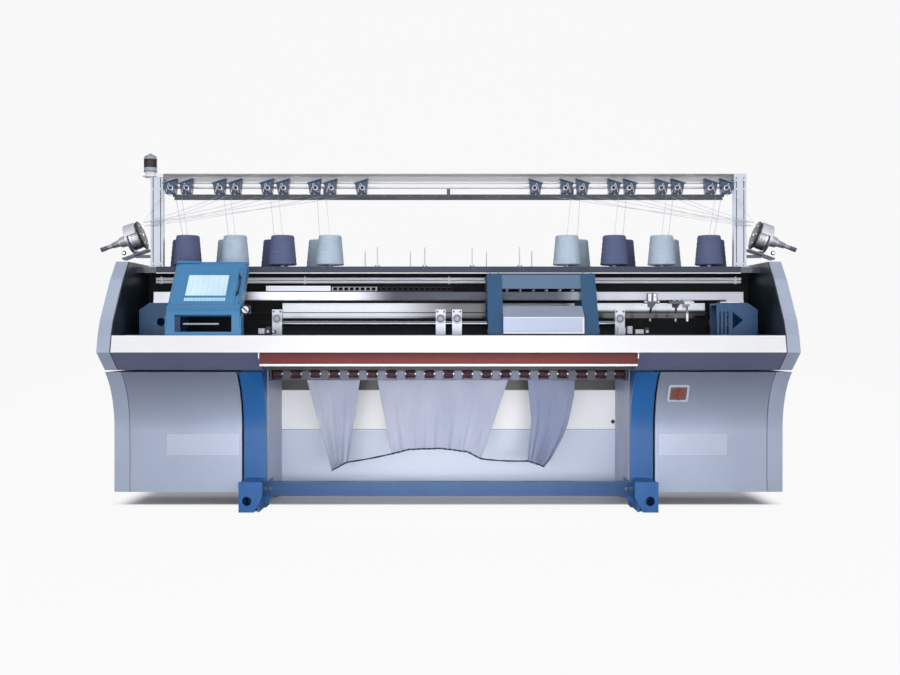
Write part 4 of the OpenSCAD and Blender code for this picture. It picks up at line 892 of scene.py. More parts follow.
makeRollers("take_down_roller", "rollers", redRubber, takeDown["main"])
makeRollers("press_rollers", "presser", blackRubber, takeDown["press"])
print("take-down rollers turned")

# The three knitted pieces: a sheet between two edge lines, with upright folds that grow below the rollers
drape = {
    "top": 1040.0,
    "rows": 190,
    "foldsBelow": 735.0,
    "foldsFull": 235.0,
    "fold": 9.0,
    "edgeCurl": 12.0,
    "thickness": 2.2,
}
# Edge lines are (z, X) from the top down, and a hem is (X, z) from left to right
cloth = {
    "left": {
        "node": "fabric_left_sleeve",
        "left": [(1040, -823), (724, -823), (196, -678)],
        "right": [(1040, -515), (724, -515), (248, -585), (196, -678)],
        "folds": (3.2, 0.4),
        "columns": 70,
    },
    "body": {
        "node": "fabric_body",
        "left": [(1040, -413), (724, -413), (293, -330)],
        "right": [(1040, 346), (724, 346), (264, 189)],
        "hem": [(-330, 293), (-224, 319), (-49, 324), (96, 305), (189, 264)],
        "folds": (6.0, 1.3),
        "columns": 160,
    },
    "right": {
        "node": "fabric_right_sleeve",
        "left": [(1040, 461), (724, 461), (491, 480), (252, 457)],
        "right": [(1040, 734), (724, 734), (631, 730), (468, 693), (386, 660), (270, 596), (218, 555)],
        "hem": [(457, 252), (500, 236), (555, 218)],
        "folds": (3.0, 2.1),
        "columns": 70,
    },
}


def clothGrid(facts):
    # x = left(z) + u (right(z) - left(z)), z runs from top to hem, d = gap + swell(z) * sum of two sines
    top = drape["top"]
    hem = np.array(facts.get("hem", [facts["left"][-1][::-1], facts["right"][-1][::-1]]), float)
    u = np.linspace(0, 1, facts["columns"])[None, :]
    v = np.linspace(0, 1, drape["rows"])[:, None]
    hemX = hem[0, 0] + (hem[-1, 0] - hem[0, 0]) * u
    hemZ = np.interp(hemX, hem[:, 0], hem[:, 1])
    z = top + (hemZ - top) * v
    sideLine = {}
    for side in ("left", "right"):
        line = np.array(facts[side], float)[::-1]
        sideLine[side] = np.interp(z, line[:, 0], line[:, 1])
    x = sideLine["left"] + u * (sideLine["right"] - sideLine["left"])
    count, phase = facts["folds"]
    swell = np.clip((drape["foldsBelow"] - z) / (drape["foldsBelow"] - drape["foldsFull"]), 0, 1) ** 1.2
    wave = np.sin(2 * np.pi * count * u + phase + 0.4 * v)
    wave = wave + 0.45 * np.sin(2 * np.pi * count * 2.3 * u + 2.1 * phase)
    edge = np.exp(-((u / 0.035) ** 2)) + np.exp(-(((1 - u) / 0.035) ** 2))
    d = machine["gap"] + swell * (drape["fold"] * wave - drape["edgeCurl"] * edge)
    return np.stack([x, d, z], 2)


def makeCloth():
    # the sheet's own map is u = x and v = z, in metres, so that a stitch keeps its size on every sheet
    hems = {}
    for name, facts in cloth.items():
        grid = clothGrid(facts)
        hems[name] = grid[::-1, -1][grid[::-1, -1, 2] < 248] if name == "left" else grid[-1]
        knit = shadeCloth if name == "right" else knitCloth
        piece = makePiece("knit_" + name, surface(grid), knit, replaced=(facts["node"],), closed=False)
        layer = piece.data.uv_layers.new(name="knit")
        corner = np.zeros(len(piece.data.loops), np.int32)
        piece.data.loops.foreach_get("vertex_index", corner)
        flat = grid.reshape(-1, 3)[corner][:, [0, 2]] / 1000.0
        layer.data.foreach_set("uv", flat.astype(np.float32).ravel())
        wall = piece.modifiers.new("cloth", "SOLIDIFY")
        wall.thickness = drape["thickness"] / 1000
        wall.offset = 0.0
    # one dark draw yarn through the left piece's cuff, the middle one's hem and the right one's cuff
    line = [hems["left"], curved(hems["left"][-1], hems["body"][0], 4)[1:-1], hems["body"]]
    line += [curved(hems["body"][-1], hems["right"][0], 6)[1:-1], hems["right"]]
    line = np.concatenate(line)[::2] + [0, -2.6, 2.2]
    makePiece("draw_yarn", tube(line, 4.4 + 0.9 * np.sin(line[:, 0] * 0.21), 8), drawYarn)


makeCloth()

# Needle beds: a needle every 2.1 mm in its trick, a retaining strip over them, and the lip along the edge
bed = {
    "needles": 1008,
    "width": 1.05,
    "proud": 1.9,
    "from": 3.0,
    "to": 92.0,
    "strip": (58.0, 66.0, 1.8, 2.7),
    "lip": (0.4, 3.4, -0.3, 0.9),
}


def overBed(t, n):
    # t down the slope from the edge, n square to it: (edge d - t - n / sqrt 2, edge z - t + n / sqrt 2)
    r = math.sqrt(0.5)
    return (machine["gap"] - 6.0 - t - n * r, machine["bedEdge"] - t + n * r)


def bedStrip(first, last, low, high):
    # a flat bar along the whole bed, between two distances down the slope and two heights over it
    outline = [overBed(first, low), overBed(first, high), overBed(last, high), overBed(last, low)]
    return prism(outline, -machine["bedHalf"], machine["bedHalf"], "x")


def makeNeedles():
    # one needle at (i + 1/2) * pitch from the bed's left end, and the rear bed mirrors the front one
    half = bed["width"] / 2
    low, high, proud = bed["from"], bed["to"], bed["proud"]
    stem = [(low, -0.2), (low, 1.2), (low + 3, proud), (high, proud), (high, -0.2)]
    needle = prism([overBed(t, n) for t, n in stem], -half, half, "x")
    pitch = 2 * machine["bedHalf"] / bed["needles"]
    x = (np.arange(bed["needles"]) + 0.5) * pitch - machine["bedHalf"]
    comb = repeated(needle, np.column_stack([x, np.zeros((len(x), 2))]))
    trims = joined([bedStrip(*bed["strip"]), bedStrip(*bed["lip"])])
    for name, paint, shape in (("needles", needleSteel, comb), ("bed_strips", chrome, trims)):
        makePiece("front_" + name, shape, shadeSteel)
        points, quads, caps = shape
        behind = (points * [1, -1, 1] + [0, 2 * machine["gap"], 0.3], quads, caps)
        makePiece("rear_" + name, behind, paint, "rear_bed")


makeNeedles()
print("needles set")


def bolt(size=8.0):
    # socket head screw: chamfered rim and a sunk six-sided socket, along its own axis
    rimLine = [(0, size), (size * 0.8, size), (size, size * 0.86), (size, size * 0.52)]
    return rimLine + [(size * 0.5, size * 0.48), (size * 0.5, 0.3)]


def bolts(places, axis, size=8.0, sides=18):
    # the same screw turned at each place
    return joined([lathe(bolt(size), place, axis, sides) for place in places])


def rim(outer, inner, low, high, plane):
    # a flat ring between two outlines of the same count: four corner lines carried round
    order = {"x": (2, 0, 1), "d": (0, 2, 1), "z": (0, 1, 2)}[plane]
    lines = []
    for outline, height in ((outer, low), (outer, high), (inner, high), (inner, low)):
        flat = np.asarray(outline, float)
        lines.append(np.column_stack([flat, np.full(len(flat), float(height))])[:, list(order)])
    return surface(np.stack(lines, 1), wrapRows=True, wrapColumns=True)


def placedBy(shape, origin, across, up, out):
    # local (x, y, z) becomes origin + x across + y up + z out
    points, quads, caps = shape
    return np.asarray(origin, float) + points @ np.array([across, up, out], float), quads, caps


# Carriage: screws up the arms, cam box discs, carrier magnets over the rails, cover trims and end bumpers
carriage = {
    "left": 221.0,
    "right": 841.0,
    "arm": 85.0,
    "front": 190.0,
    "foot": 992.0,
    "crown": 1336.0,
    "railDepths": (404.0, 448.0, 492.0, 536.0),
    "armScrews": (
        (215, 1010), (262, 1090), (310, 1172), (352, 1240), (410, 1318),
        (520, 1318), (640, 1318), (670, 1200), (670, 1060),
    ),
}


def camDials():
    # a large and a small dial over each bed, every 62 mm, square to the slope
    discs = []
    for x in np.arange(290, 790, 62.0):
        for way in (-1, 1):
            for down, radius in ((30, 13.0), (56, 9.0)):
                d, z = overBed(down, 44)
                d = 2 * machine["gap"] - d if way > 0 else d
                dial = [(0, radius), (3, radius), (4, radius - 1.2), (4, 3.5), (2, 3.2), (2, 0.3)]
                discs.append(lathe(dial, (x, d, z), (0, way * 0.7071, 0.7071), 22))
    return discs


def makeCarriage():
    # everything is placed from the inner and outer faces of the two arms
    inLeft, inRight = carriage["left"] + carriage["arm"], carriage["right"] - carriage["arm"]
    outsides = ((carriage["left"], -1), (carriage["right"], 1))
    heads = []
    for x in (carriage["left"] + carriage["arm"] / 2, carriage["right"] - carriage["arm"] / 2):
        for k in (-24, 24):
            heads += [lathe(bolt(7), (x + k, d, carriage["crown"]), toTop, 18) for d in (420.0, 660.0)]
    for x, way in outsides:
        heads += [lathe(bolt(6), (x, d, z), (way, 0, 0), 18) for d, z in carriage["armScrews"]]
    makePiece("carriage_screws", heads, darkSteel, "carriage")
    makePiece("cam_dials", camDials(), steel, "carriage")
    magnets, plungers = [], []
    pin = [(0, 0.5), (0, 4), (16, 4), (17, 3), (17, 0.5)]
    for d in carriage["railDepths"]:
        for x in np.arange(340, 740, 76.0):
            magnets.append(block((x - 17, d - 13, 1254), (x + 17, d + 13, 1300)))
            plungers.append(lathe(pin, (x, d, 1254), toFloor, 12))
    makePiece("carrier_magnets", magnets, blackPlastic, "carriage", bevel=2.0)
    makePiece("magnet_plungers", plungers, steel, "carriage")
    beams = [block((inLeft, d - 10, 1296), (inRight, d + 10, 1304)) for d in carriage["railDepths"]]
    makePiece("magnet_beams", beams, darkSteel, "carriage", bevel=1.0)
    f, z = carriage["front"], carriage["foot"]
    edges = [
        block((inLeft, f - 2, z), (inRight, f + 1, z + 9)),
        block((inRight - 9, f - 1.6, z + 9), (inRight, f + 1, 1084)),
        block((inLeft, f - 1.6, 1080), (inRight, f + 1, 1085)),
    ]
    makePiece("cover_edges", edges, white, "carriage", bevel=0.8)
    pad = [(0, 15), (3, 15), (6, 11), (7, 0.5)]
    stops = []
    for x, way in outsides:
        stops += [lathe(pad, (x, 670, height), (way, 0, 0), 24) for height in (1215.0, 1270.0)]
    makePiece("arm_bumpers", stops, blackRubber, "carriage")
    wipers = []
    for x in (carriage["left"] - 3, carriage["right"] - 5):
        wipers.append(block((x, 207, 987), (x + 8, 241, 1010)))
        wipers.append(block((x, 653, 987), (x + 8, 689, 1010)))
    makePiece("rail_wipers", wipers, blackRubber, "carriage", bevel=1.5)
    ribs = []
    for i in range(3):
        d, z = 356 + 6 * i, 1258 + 9 * i
        ribs.append(block((inLeft + 2, d, z), (inRight - 2, d + 1, z + 2)))
    makePiece("bridge_ribs", ribs, black, "carriage")


makeCarriage()
print("carriage dressed")

# Yarn carriers: screws and slider jaws on each block, a nozzle at the finger's tip and a yarn eye above
carriers = {
    "places": (1170.0, 1320.0, 1389.0),
    "depths": (404.0, 448.0, 492.0),
    "tips": (459.5, 466.5, 473.5),
}


def makeCarriers():
    # each carrier's trims stand at its own rest place, on its own rail
    for i, (x, d, tip) in enumerate(zip(carriers["places"], carriers["depths"], carriers["tips"])):
        body = f"carrier_{i + 1}"
        front = d - 18
        jaws = [block((x - 24 + 30 * k, front - 2.5, 1178), (x - 6 + 30 * k, front, 1222)) for k in (0, 1)]
        ears = [block((x - 42 + 70 * k, d - 15, 1172), (x - 28 + 70 * k, d + 15, 1181)) for k in (0, 1)]
        jawPaint = (white, darkSteel, steel)[i]
        makePiece(body + "_jaws", jaws + ears, jawPaint, body, bevel=1.0)
        spots = [(x + k, front - 2.5, z) for k in (-15, 15) for z in (1188, 1212)]
        makePiece(body + "_screws", bolts(spots, toFront, 4.5, 14), chrome, body)
        bore = [(-3, 1.0), (-3, 2.4), (6, 3.1), (12, 3.1), (13, 2.6), (13, 1.0)]
        nozzle = lathe(bore, (x, tip, 1067), toTop, 14)
        eye = lathe([(-2, 2.4), (-2, 5), (2, 5), (2, 2.4)], (x, d - 3, 1160), toBack, 16)
        makePiece(body + "_nozzle", [nozzle, eye], ceramic, body)
        plate = prism([(x - 26, 1145), (x + 6, 1141), (x + 22, 1166), (x - 26, 1166)], d - 7, d - 4, "d")
        guardPaint = (darkSteel, black, casting)[i]
        makePiece(body + "_guard", plate, guardPaint, body, bevel=0.8)


makeCarriers()
print("yarn carriers dressed")

# Console: bezel round the display, face seam, key row, pen in its clips, screws, back vents and the star
# knob that clamps the tilt
console = {
    "pivot": (149.0, 1122.0),
    "lean": 41.4,
    "half": 35.0,
    "faceMid": (-1346.0, 168.0),
    "face": (402.0, 322.0),
    "screenX": -1464.0,
    "screenWidth": 228.0,
    "screenY": 76.0,
    "screenHeight": 164.0,
    "keys": 11,
    "keyY": 51.0,
    "knob": (-1115.0, 97.0, 1124.0),
}


def onConsole(shape):
    # from the face's own across, up and out to the machine's frame
    lean = math.radians(console["lean"])
    up = (0.0, math.sin(lean), math.cos(lean))
    out = (0.0, -math.cos(lean), math.sin(lean))
    d, z = console["pivot"]
    origin = (0.0, d + out[1] * console["half"], z + out[2] * console["half"])
    return placedBy(shape, origin, (1.0, 0.0, 0.0), up, out)


def makeConsole():
    # drawn flat in the face's own frame, then leaned back with it
    w, h = console["screenWidth"], console["screenHeight"]
    middle = (console["screenX"] + w / 2, console["screenY"] + h / 2)
    bezel = rim(rounded(w + 22, h + 22, 9, middle), rounded(w - 2, h - 2, 3, middle), -1.0, 2.2, "z")
    makePiece("display_bezel", onConsole(bezel), lightBlue, "console", bevel=1.2)
    faceMid, (wide, high) = console["faceMid"], console["face"]
    outer, inner = rounded(wide - 12, high, 14, faceMid), rounded(wide - 17, high - 5, 12, faceMid)
    makePiece("face_seam", onConsole(rim(outer, inner, -0.4, 0.7, "z")), slate, "console")
    keyX = np.linspace(console["screenX"] + 14, console["screenX"] + w - 14, console["keys"])
    key = prism(rounded(15, 15, 3, (0, console["keyY"])), -1.6, 1.0, "z")
    keys = repeated(key, np.column_stack([keyX, np.zeros((len(keyX), 2))]))
    makePiece("console_keys", onConsole(keys), keyPlastic, "console", bevel=0.6)
    # a bowed pen in two clips right of the display: x = -1178 + 9 sin(pi t)
    t = np.linspace(0, 1, 24)
    pen = tube(np.stack([-1178 + 9 * np.sin(np.pi * t), 72 + 168 * t, np.full(24, 6.0)], 1), 3.4, 10)
    clips = [prism(rounded(16, 9, 3, (-1174, y)), -0.2, 10.0, "z") for y in (96, 214)]
    makePiece("console_pen", onConsole(joined([pen] + clips)), blackPlastic, "console")
    corners = [(x, y, 0.0) for x in (-1537, -1155) for y in (20, 318)]
    makePiece("console_screws", onConsole(bolts(corners, toTop, 3.6, 14)), darkSteel, "console")
    wells = [block((-1480 + 30 * i, 20, -70.6), (-1462 + 30 * i, 260, -69.0)) for i in range(9)]
    makePiece("console_back_vents", onConsole(joined(wells)), black, "console")


def makeClampKnob():
    # seven lobes round the rim: radius = 27 + 1.8 cos(7 a)
    x, front, z = console["knob"]
    a = np.linspace(0, 2 * np.pi, 60, endpoint=False)
    radius = 27.0 + 1.8 * np.cos(7 * a)
    ring = prism(np.stack([x + radius * np.cos(a), z + radius * np.sin(a)], 1), front + 4, front + 26, "d")
    stem = lathe([(0, 0.5), (0, 6), (26, 6), (26, 0.5)], (x, 122, z), toBack, 20)
    makePiece("clamp_knob", [ring, stem], blackPlastic, "knob", ("tilt_knob",), 2.0)
    face = lathe([(0, 19), (3.5, 18), (4.5, 14), (4.5, 0.5)], (x, front + 4, z), toFront, 36)
    makePiece("clamp_knob_face", face, palePlastic, "knob")
    lever = block((x - 17, front - 4.5, z - 4), (x + 17, front + 1, z + 4))
    makePiece("clamp_lever", turned(lever, toBack, 45, (x, front, z)), darkSteel, "knob", bevel=1.5)


makeConsole()
makeClampKnob()
print("console dressed")

# Main switch on the flare: a bevelled plate with four screws and a rounded grip on its collar
switch = {"x": 1293.0, "angle": 32.0, "seat": 4.27, "width": 118.0, "height": 112.0}


def onFlare(shape):
    # from the plate's own across, up and out to its place on the round of the front panel
    a = math.radians(switch["angle"])
    c, s = math.cos(a), math.sin(a)
    radius = machine["flareRadius"]
    origin = (switch["x"], machine["flareMid"] + radius * c, machine["flareFoot"] + radius * s)
    return placedBy(shape, origin, (1.0, 0.0, 0.0), (0.0, -s, c), (0.0, -c, -s))


def makeSwitch():
    # heights over the round of the panel: plate, well, stepped collar and grip
    seat = switch["seat"]
    outer, inner = rounded(switch["width"], switch["height"], 10), rounded(94, 88, 6)
    edge = rim(outer, inner, seat, seat + 7, "z")
    well = rim(inner * 1.004, rounded(17, 17, 8.3), seat, seat + 4, "z")
    makePiece("switch_plate", onFlare(edge), switchPlastic, replaced=("main_switch_plate",), bevel=1.0)
    makePiece("switch_well", onFlare(well), wellPlastic)
    step = [(seat + 4.5, 8), (seat + 4.5, 33), (seat + 10, 33), (seat + 14, 29), (seat + 14, 0.5)]
    collar = lathe(step, atOrigin, toTop, 44)
    shaft = lathe([(1, 0.5), (1, 7.9), (seat + 6, 7.9), (seat + 6, 0.5)], atOrigin, toTop, 24)
    grip = prism(rounded(15, 64, 7.4), seat + 13, seat + 28, "z")
    knob = onFlare(joined([collar, shaft, grip]))
    makePiece("switch_knob", knob, knobPlastic, "switch_knob", ("main_switch_knob",), 1.5)
    spots = [(x, y, seat + 7) for x in (-53, 53) for y in (-50, 50)]
    makePiece("switch_screws", onFlare(bolts(spots, toTop, 3.4, 14)), steel)


makeSwitch()
print("main switch fitted")

# Signal lamp: a pale foot, a pale and a dark lens between black rings, and a grey cap
lampPost = {"x": -1772.5, "d": 620.0, "foot": 1925.0, "lens": 38.4, "ring": 39.4}


def makeLamp():
    # foot, lenses, rings and cap are profiles of (height, radius) turned about the post
    x, d, z = lampPost["x"], lampPost["d"], lampPost["foot"]
    place = (x, d, z)
    foot = [
        prism(rounded(79, 79, 8, (x, d)), z, z + 6, "z"),
        lathe([(6, 0.5), (6, 33), (22, 31), (30, 37), (30, 0.5)], place, toTop, 40),
    ]
    makePiece("lamp_foot", foot, palePlastic, replaced=("signal_lamp",), bevel=1.2)
    # ribbed glass: radius = 38.4 + 0.8 |sin(7 pi t)| up each lens
    t = np.linspace(0, 1, 30)
    ribs = lampPost["lens"] + 0.8 * np.abs(np.sin(t * np.pi * 7))
    for name, low, high, paint in (("pale", 32, 56, paleLens), ("dark", 59, 102, darkLens)):
        profile = np.concatenate([[(low, 0.5)], np.stack([low + t * (high - low), ribs], 1), [(high, 0.5)]])
        makePiece("lamp_lens_" + name, lathe(profile, place, toTop, 48), paint)
    rings = []
    for h in (29, 55.5, 101):
        profile = [(h, 0.5), (h, lampPost["ring"]), (h + 4, lampPost["ring"]), (h + 4, 0.5)]
        rings.append(lathe(profile, place, toTop, 48))
    makePiece("lamp_rings", rings, blackPlastic, bevel=0.8)
    t = np.linspace(0, np.pi / 2, 12)
    arch = np.stack([110 + 22 * np.sin(t), 12 + 26 * np.cos(t)], 1)
    dome = np.concatenate([[(104, 0.5), (104, 39.0)], arch, [(134, 12), (139, 9), (139, 0.5)]])
    makePiece("lamp_cap", lathe(dome, place, toTop, 48), greyPlastic)


makeLamp()
print("signal lamp fitted")


# Each feeder's wheel with its flange and yarn wraps, a knurled tip, a dial and cover screws
def onFeeder(shape, side):
    # from the feeder's own axis, tilted down by a: x along (cos a, 0, -sin a), mirrored for the left one
    a = math.radians(feeder["tilt"])
    c, s = math.cos(a), math.sin(a)
    hub = (feeder["x"], feeder["d"], feeder["z"])
    placed = placedBy(shape, hub, (c, 0.0, -s), (0.0, 1.0, 0.0), (s, 0.0, c))
    return placed if side > 0 else mirrored(placed)


def aroundHub(h, radius, angles):
    # (h, radius cos a, radius sin a) for each angle
    return [(h, radius * math.cos(a), radius * math.sin(a)) for a in angles]


def makeFeeders():
    # wound yarn on the wheel: radius + 0.9 |sin(pi x / 1.9)| up to x = 14, bare beyond
    x = np.linspace(-28, 26, 90)
    wraps = feeder["wheel"] - 3.0 + 0.05 * x + 0.9 * np.abs(np.sin(x * np.pi / 1.9)) * (x < 14)
    ends = ([(-29, 10.05), (-29, 70)], [(27.5, 73), (28, 70), (28, 10.05)])
    drum = np.concatenate([ends[0], np.stack([x, wraps], 1), ends[1]])
    flange = [(-42, 10.05), (-42, 82), (-40, 86), (-36, 87), (-31, 84), (-29, 74), (-29, 10.05)]
    sixth = np.linspace(0, 2 * np.pi, 6, endpoint=False)
    pin = [(-46, 3), (-46, 6), (-42, 6), (-42, 3)]
    pins = [lathe(pin, place, toRight, 10) for place in aroundHub(0, 60, sixth)]
    # knurled grip: radius = 13.4 + 0.8 cos(24 a)
    a = np.linspace(0, 2 * np.pi, 96, endpoint=False)
    knurl = 13.4 + 0.8 * np.cos(24 * a)
    grip = prism(np.stack([knurl * np.cos(a), knurl * np.sin(a)], 1), 196, 222, "x")
    tip = lathe([(150, 12), (172, 12.5), (196, 11.5)], atOrigin, toRight, 24)
    dial = lathe([(96, 24), (100, 25), (104, 24), (104, 17)], atOrigin, toRight, 32)
    coverRing = lathe([(44, 84), (47, 84), (48, 80), (48, 60), (46.5, 58), (44, 58)], atOrigin, toRight, 64)
    screws = bolts(aroundHub(44, 79, np.linspace(0.3, 6.58, 7)[:-1]), toRight, 3.6, 12)
    tension = lathe([(0, 4), (0, 12), (3, 14), (5, 12), (14, 8), (15, 0.5)], (90, -40, -70), toFront, 24)
    for side, word in ((1, "right"), (-1, "left")):
        wheel, name = word + "_wheel", word + "_feeder_"
        wound, disc = (onFeeder(lathe(line, atOrigin, toRight, 72), side) for line in (drum, flange))
        makePiece(name + "drum", wound, wheelSteel, wheel, (word + "_feeder_wheel",), crease=60)
        makePiece(name + "flange", disc, blackPlastic, wheel)
        makePiece(name + "pins", onFeeder(joined(pins), side), steel, wheel)
        makePiece(name + "grip", onFeeder(joined([grip, tip, dial]), side), wheelSteel, bevel=0.6)
        makePiece(name + "ring", onFeeder(joined([coverRing, screws]), side), steel)
        makePiece(name + "tension", onFeeder(tension, side), chrome)


makeFeeders()
print("feeders dressed")

# Covers: bare name plates, screws and seam straps, louvres at the back, trims along beam and table
covers = {
    "plateRight": (1197.0, 1583.0),
    "plateLeft": (-1600.0, -1191.0),
    "plateHeights": (303.0, 420.0),
    "panelFace": 327.0,
    "screwPitch": 292.0,
    "recessFace": 905.0,
    "chainStart": -704.0,
    "chainLinks": 9,
    "strapPlaces": (-1212, -604, 0, 604, 1212),
    "rodFace": 306.0,
    "rodHeight": 1078.0,
    "stopFace": 142.0,
    "stopFoot": 991.5,
    "barHeights": (818.0, 884.0),
    "barBack": 49.0,
    "barMiddle": (144.0, 851.0),
    "barRadius": 140.0,
    "ventPitch": 22.0,
}


def makeNamePlates():
    # two bare plates with round corners, each in a rim 2.5 mm wide
    low, high = covers["plateHeights"]
    face = covers["panelFace"]
    plates, rims = [], []
    for x0, x1 in (covers["plateRight"], covers["plateLeft"]):
        middle = ((x0 + x1) / 2, (low + high) / 2)
        outline = rounded(x1 - x0, high - low, 6, middle)
        plates.append(prism(outline, face - 1.0, face + 0.5, "d"))
        inner = rounded(x1 - x0 - 5, high - low - 5, 4, middle)
        rims.append(rim(outline, inner, face - 1.8, face, "d"))
    makePiece("name_plates", plates, paleSilver)
    makePiece("name_plate_rims", rims, steel, bevel=0.4)


def makeBeamTrims():
    # thin bright edges carried along beam and table, and screws at an even pitch
    nose = prism([(-0.6, 890.6), (1.5, 889.8), (2.5, 893.0), (1.2, 896.5), (-0.4, 895.4)], -1824, 1824, "x")
    fascia = prism([(498.6, 1345.2), (500.4, 1345.2), (500.4, 1350.5), (499.2, 1350.5)], -1708, 1708, "x")
    makePiece("bright_trims", [nose, fascia], white)
    x = np.arange(-1606, 1607, covers["screwPitch"])
    table = bolts([(k, 500.0, 1372.0) for k in x], toFront, 4.5, 16)
    band = bolts([(k, 110.0, 982.0) for k in x if abs(k + 1346) > 240], toTop, 4.5, 16)
    makePiece("beam_screws", [table, band], darkSteel)
    # the pale strip behind the beds and the tray's front are in the glowing white: painted light, painted
    # reflection and painted shade
    makePiece("pale_strip", block((-1010, 770.9, 1088.5), (1560, 772.6, 1179.5)), whiteWithPaintedGlow, bevel=0.6)
    makePiece("tray_front", block((-1099, 700.6, 1251), (-710, 702.4, 1282)), whiteWithPaintedGlow, bevel=0.6)
    # pale side plates of the cable chain: two rails, and an upright at each link
    start = covers["chainStart"]
    sides = [block((start, 705.2, z), (start + 274, 707.2, z + 4)) for z in (1251, 1273)]
    for i in range(covers["chainLinks"]):
        sides.append(block((start + 33 * i, 705.4, 1254), (start + 10 + 33 * i, 707.2, 1274)))
    makePiece("chain_plates", sides, palePlastic)


def makeRodBlocks():
    # a turned cap, its dark groove and four screws on each clamp block of the front rod
    middles = [(x, covers["rodFace"], covers["rodHeight"]) for x in machine["rodBlocks"]]
    cap = [(0, 26), (3, 25), (4, 22), (4, 19), (1, 18), (1, 15), (5, 14), (6, 8), (6, 0.5)]
    makePiece("rod_block_caps", [lathe(cap, middle, toFront, 36) for middle in middles], casting)
    groove = [(1.2, 15), (1.2, 18), (2.0, 17.4), (2.0, 15.6)]
    grooves = [lathe(groove, middle, toFront, 36) for middle in middles]
    makePiece("rod_block_grooves", grooves, black)
    front, places = covers["rodFace"] + 6, machine["rodBlocks"]
    heads = [(x + k, front, z) for x in places for k in (-19, 19) for z in (950, 1118)]
    makePiece("rod_block_screws", bolts(heads, toFront, 5.5, 16), darkSteel)


def makeRecessTrims():
    # the recess panel's joint line, its latch on the right and two screws on the left
    face = covers["recessFace"]
    latch = [lathe([(0, 0.5), (0, 12), (3, 12), (4, 10), (4, 0.5)], (1020, face, 449), toFront, 28)]
    head = [(0, 0.5), (0, 4.5), (2, 4.5), (2, 0.5)]
    latch += [lathe(head, (-1066, face, z), toFront, 14) for z in (448, 473)]
    latch.append(block((-1075, face - 0.7, 400.0), (1075, face + 0.6, 402.6)))
    makePiece("recess_latch", latch, blackPlastic)


def makeStops():
    # small cast stops and switches on the band's back edge, beyond both ends of the beds, and a bar in the
    # console's foot: (X, width, height)
    stops = ((-1050, 34, 30), (-1008, 22, 40), (-976, 18, 22), (938, 40, 34))
    stops += ((990, 26, 42), (1034, 44, 24), (1086, 22, 34))
    casts, darks = [], []
    d, z = covers["stopFace"], covers["stopFoot"]
    for x, w, h in stops:
        (casts if w > 25 else darks).append(block((x, d, z), (x + w, d + 34, z + h)))
        casts.append(lathe([(0, 8), (4, 8), (5, 6), (5, 0.4)], (x + w / 2, d, z + 12.5), toFront, 20))
    makePiece("end_stops", casts, casting, bevel=1.5)
    makePiece("end_switches", darks, black, bevel=1.5)
    makePiece("console_foot_bar", tube([(-1466, 150, 1046), (-1270, 150, 1046)], 7.0, 16), steel)


def makeBarEnds():
    # end caps of the engaging bar, its front edge an arc: d = middle - sqrt(r^2 - (z - middle height)^2)
    low, high = covers["barHeights"]
    back, middle = covers["barBack"], covers["barMiddle"]
    z = np.linspace(low, high, 14)
    face = middle[0] - np.sqrt(covers["barRadius"] ** 2 - (z - middle[1]) ** 2)
    outline = np.concatenate([np.stack([face + 0.6, z], 1), [(back, high), (back, low)]])
    caps = [prism(outline, x, x + 2.6, "x") for x in (-1022.6, 1020.0)]
    makePiece("bar_ends", caps, maroonDark, "bar", bevel=0.6)
    lip = [(5.2, 828), (7.2, 817.0), (9.4, 815.4), (49.5, 815.4), (49.5, 817.2), (9.2, 817.6), (6.4, 828)]
    makePiece("bar_edge", prism(lip, -1021, 1021, "x"), white, "bar")


def makeSides():
    # end and side covers: screws round each outer face as (d, z), two plugged holes and a slotted vent
    end = machine["endX"]
    low = ((360, 130), (360, 420), (620, 130), (885, 130), (885, 440), (885, 750), (560, 750), (210, 745))
    high = ((120, 900), (330, 820), (620, 820), (885, 820), (885, 1120))
    high += ((860, 1330), (600, 1385), (400, 1380), (270, 1270), (110, 1060))
    spots = [(end, d, z) for d, z in low + high]
    makePiece("side_screws", bothSides(bolts(spots, toRight, 5.0, 18)), steel)
    plug = [(0, 24), (2, 24), (3.4, 21), (3.4, 0.5)]
    plugs = [lathe(plug, (end, d, 560), toRight, 32) for d in (440, 800)]
    heights = 300 + covers["ventPitch"] * np.arange(9)
    slots = [prism(rounded(150, 9, 4.4, (620, z)), end - 0.5, end + 1.6, "x") for z in heights]
    makePiece("side_plugs_and_vents", bothSides(joined(plugs + slots)), blackPlastic)


def louvre(x, z, width):
    # a pressed hood: its section is a quarter ellipse carried across the width, and it tapers at both ends
    u = np.linspace(-1, 1, 15)[:, None]
    a = np.linspace(0, np.pi / 2, 6)[None, :]
    swell = np.sqrt(np.clip(1 - u**4, 0, 1))
    across, rise = x + u * width / 2, z + 12.0 * swell * np.sin(a)
    bulge = machine["caseDepth"] - 0.5 + 7.0 * swell * np.cos(a)
    points = np.stack(np.broadcast_arrays(across, bulge, rise), 2)
    back = np.stack(np.broadcast_arrays(across, np.full_like(a, machine["caseDepth"] - 1), rise), 2)
    return surface(np.concatenate([points, back[:, ::-1]], 1), wrapColumns=True)


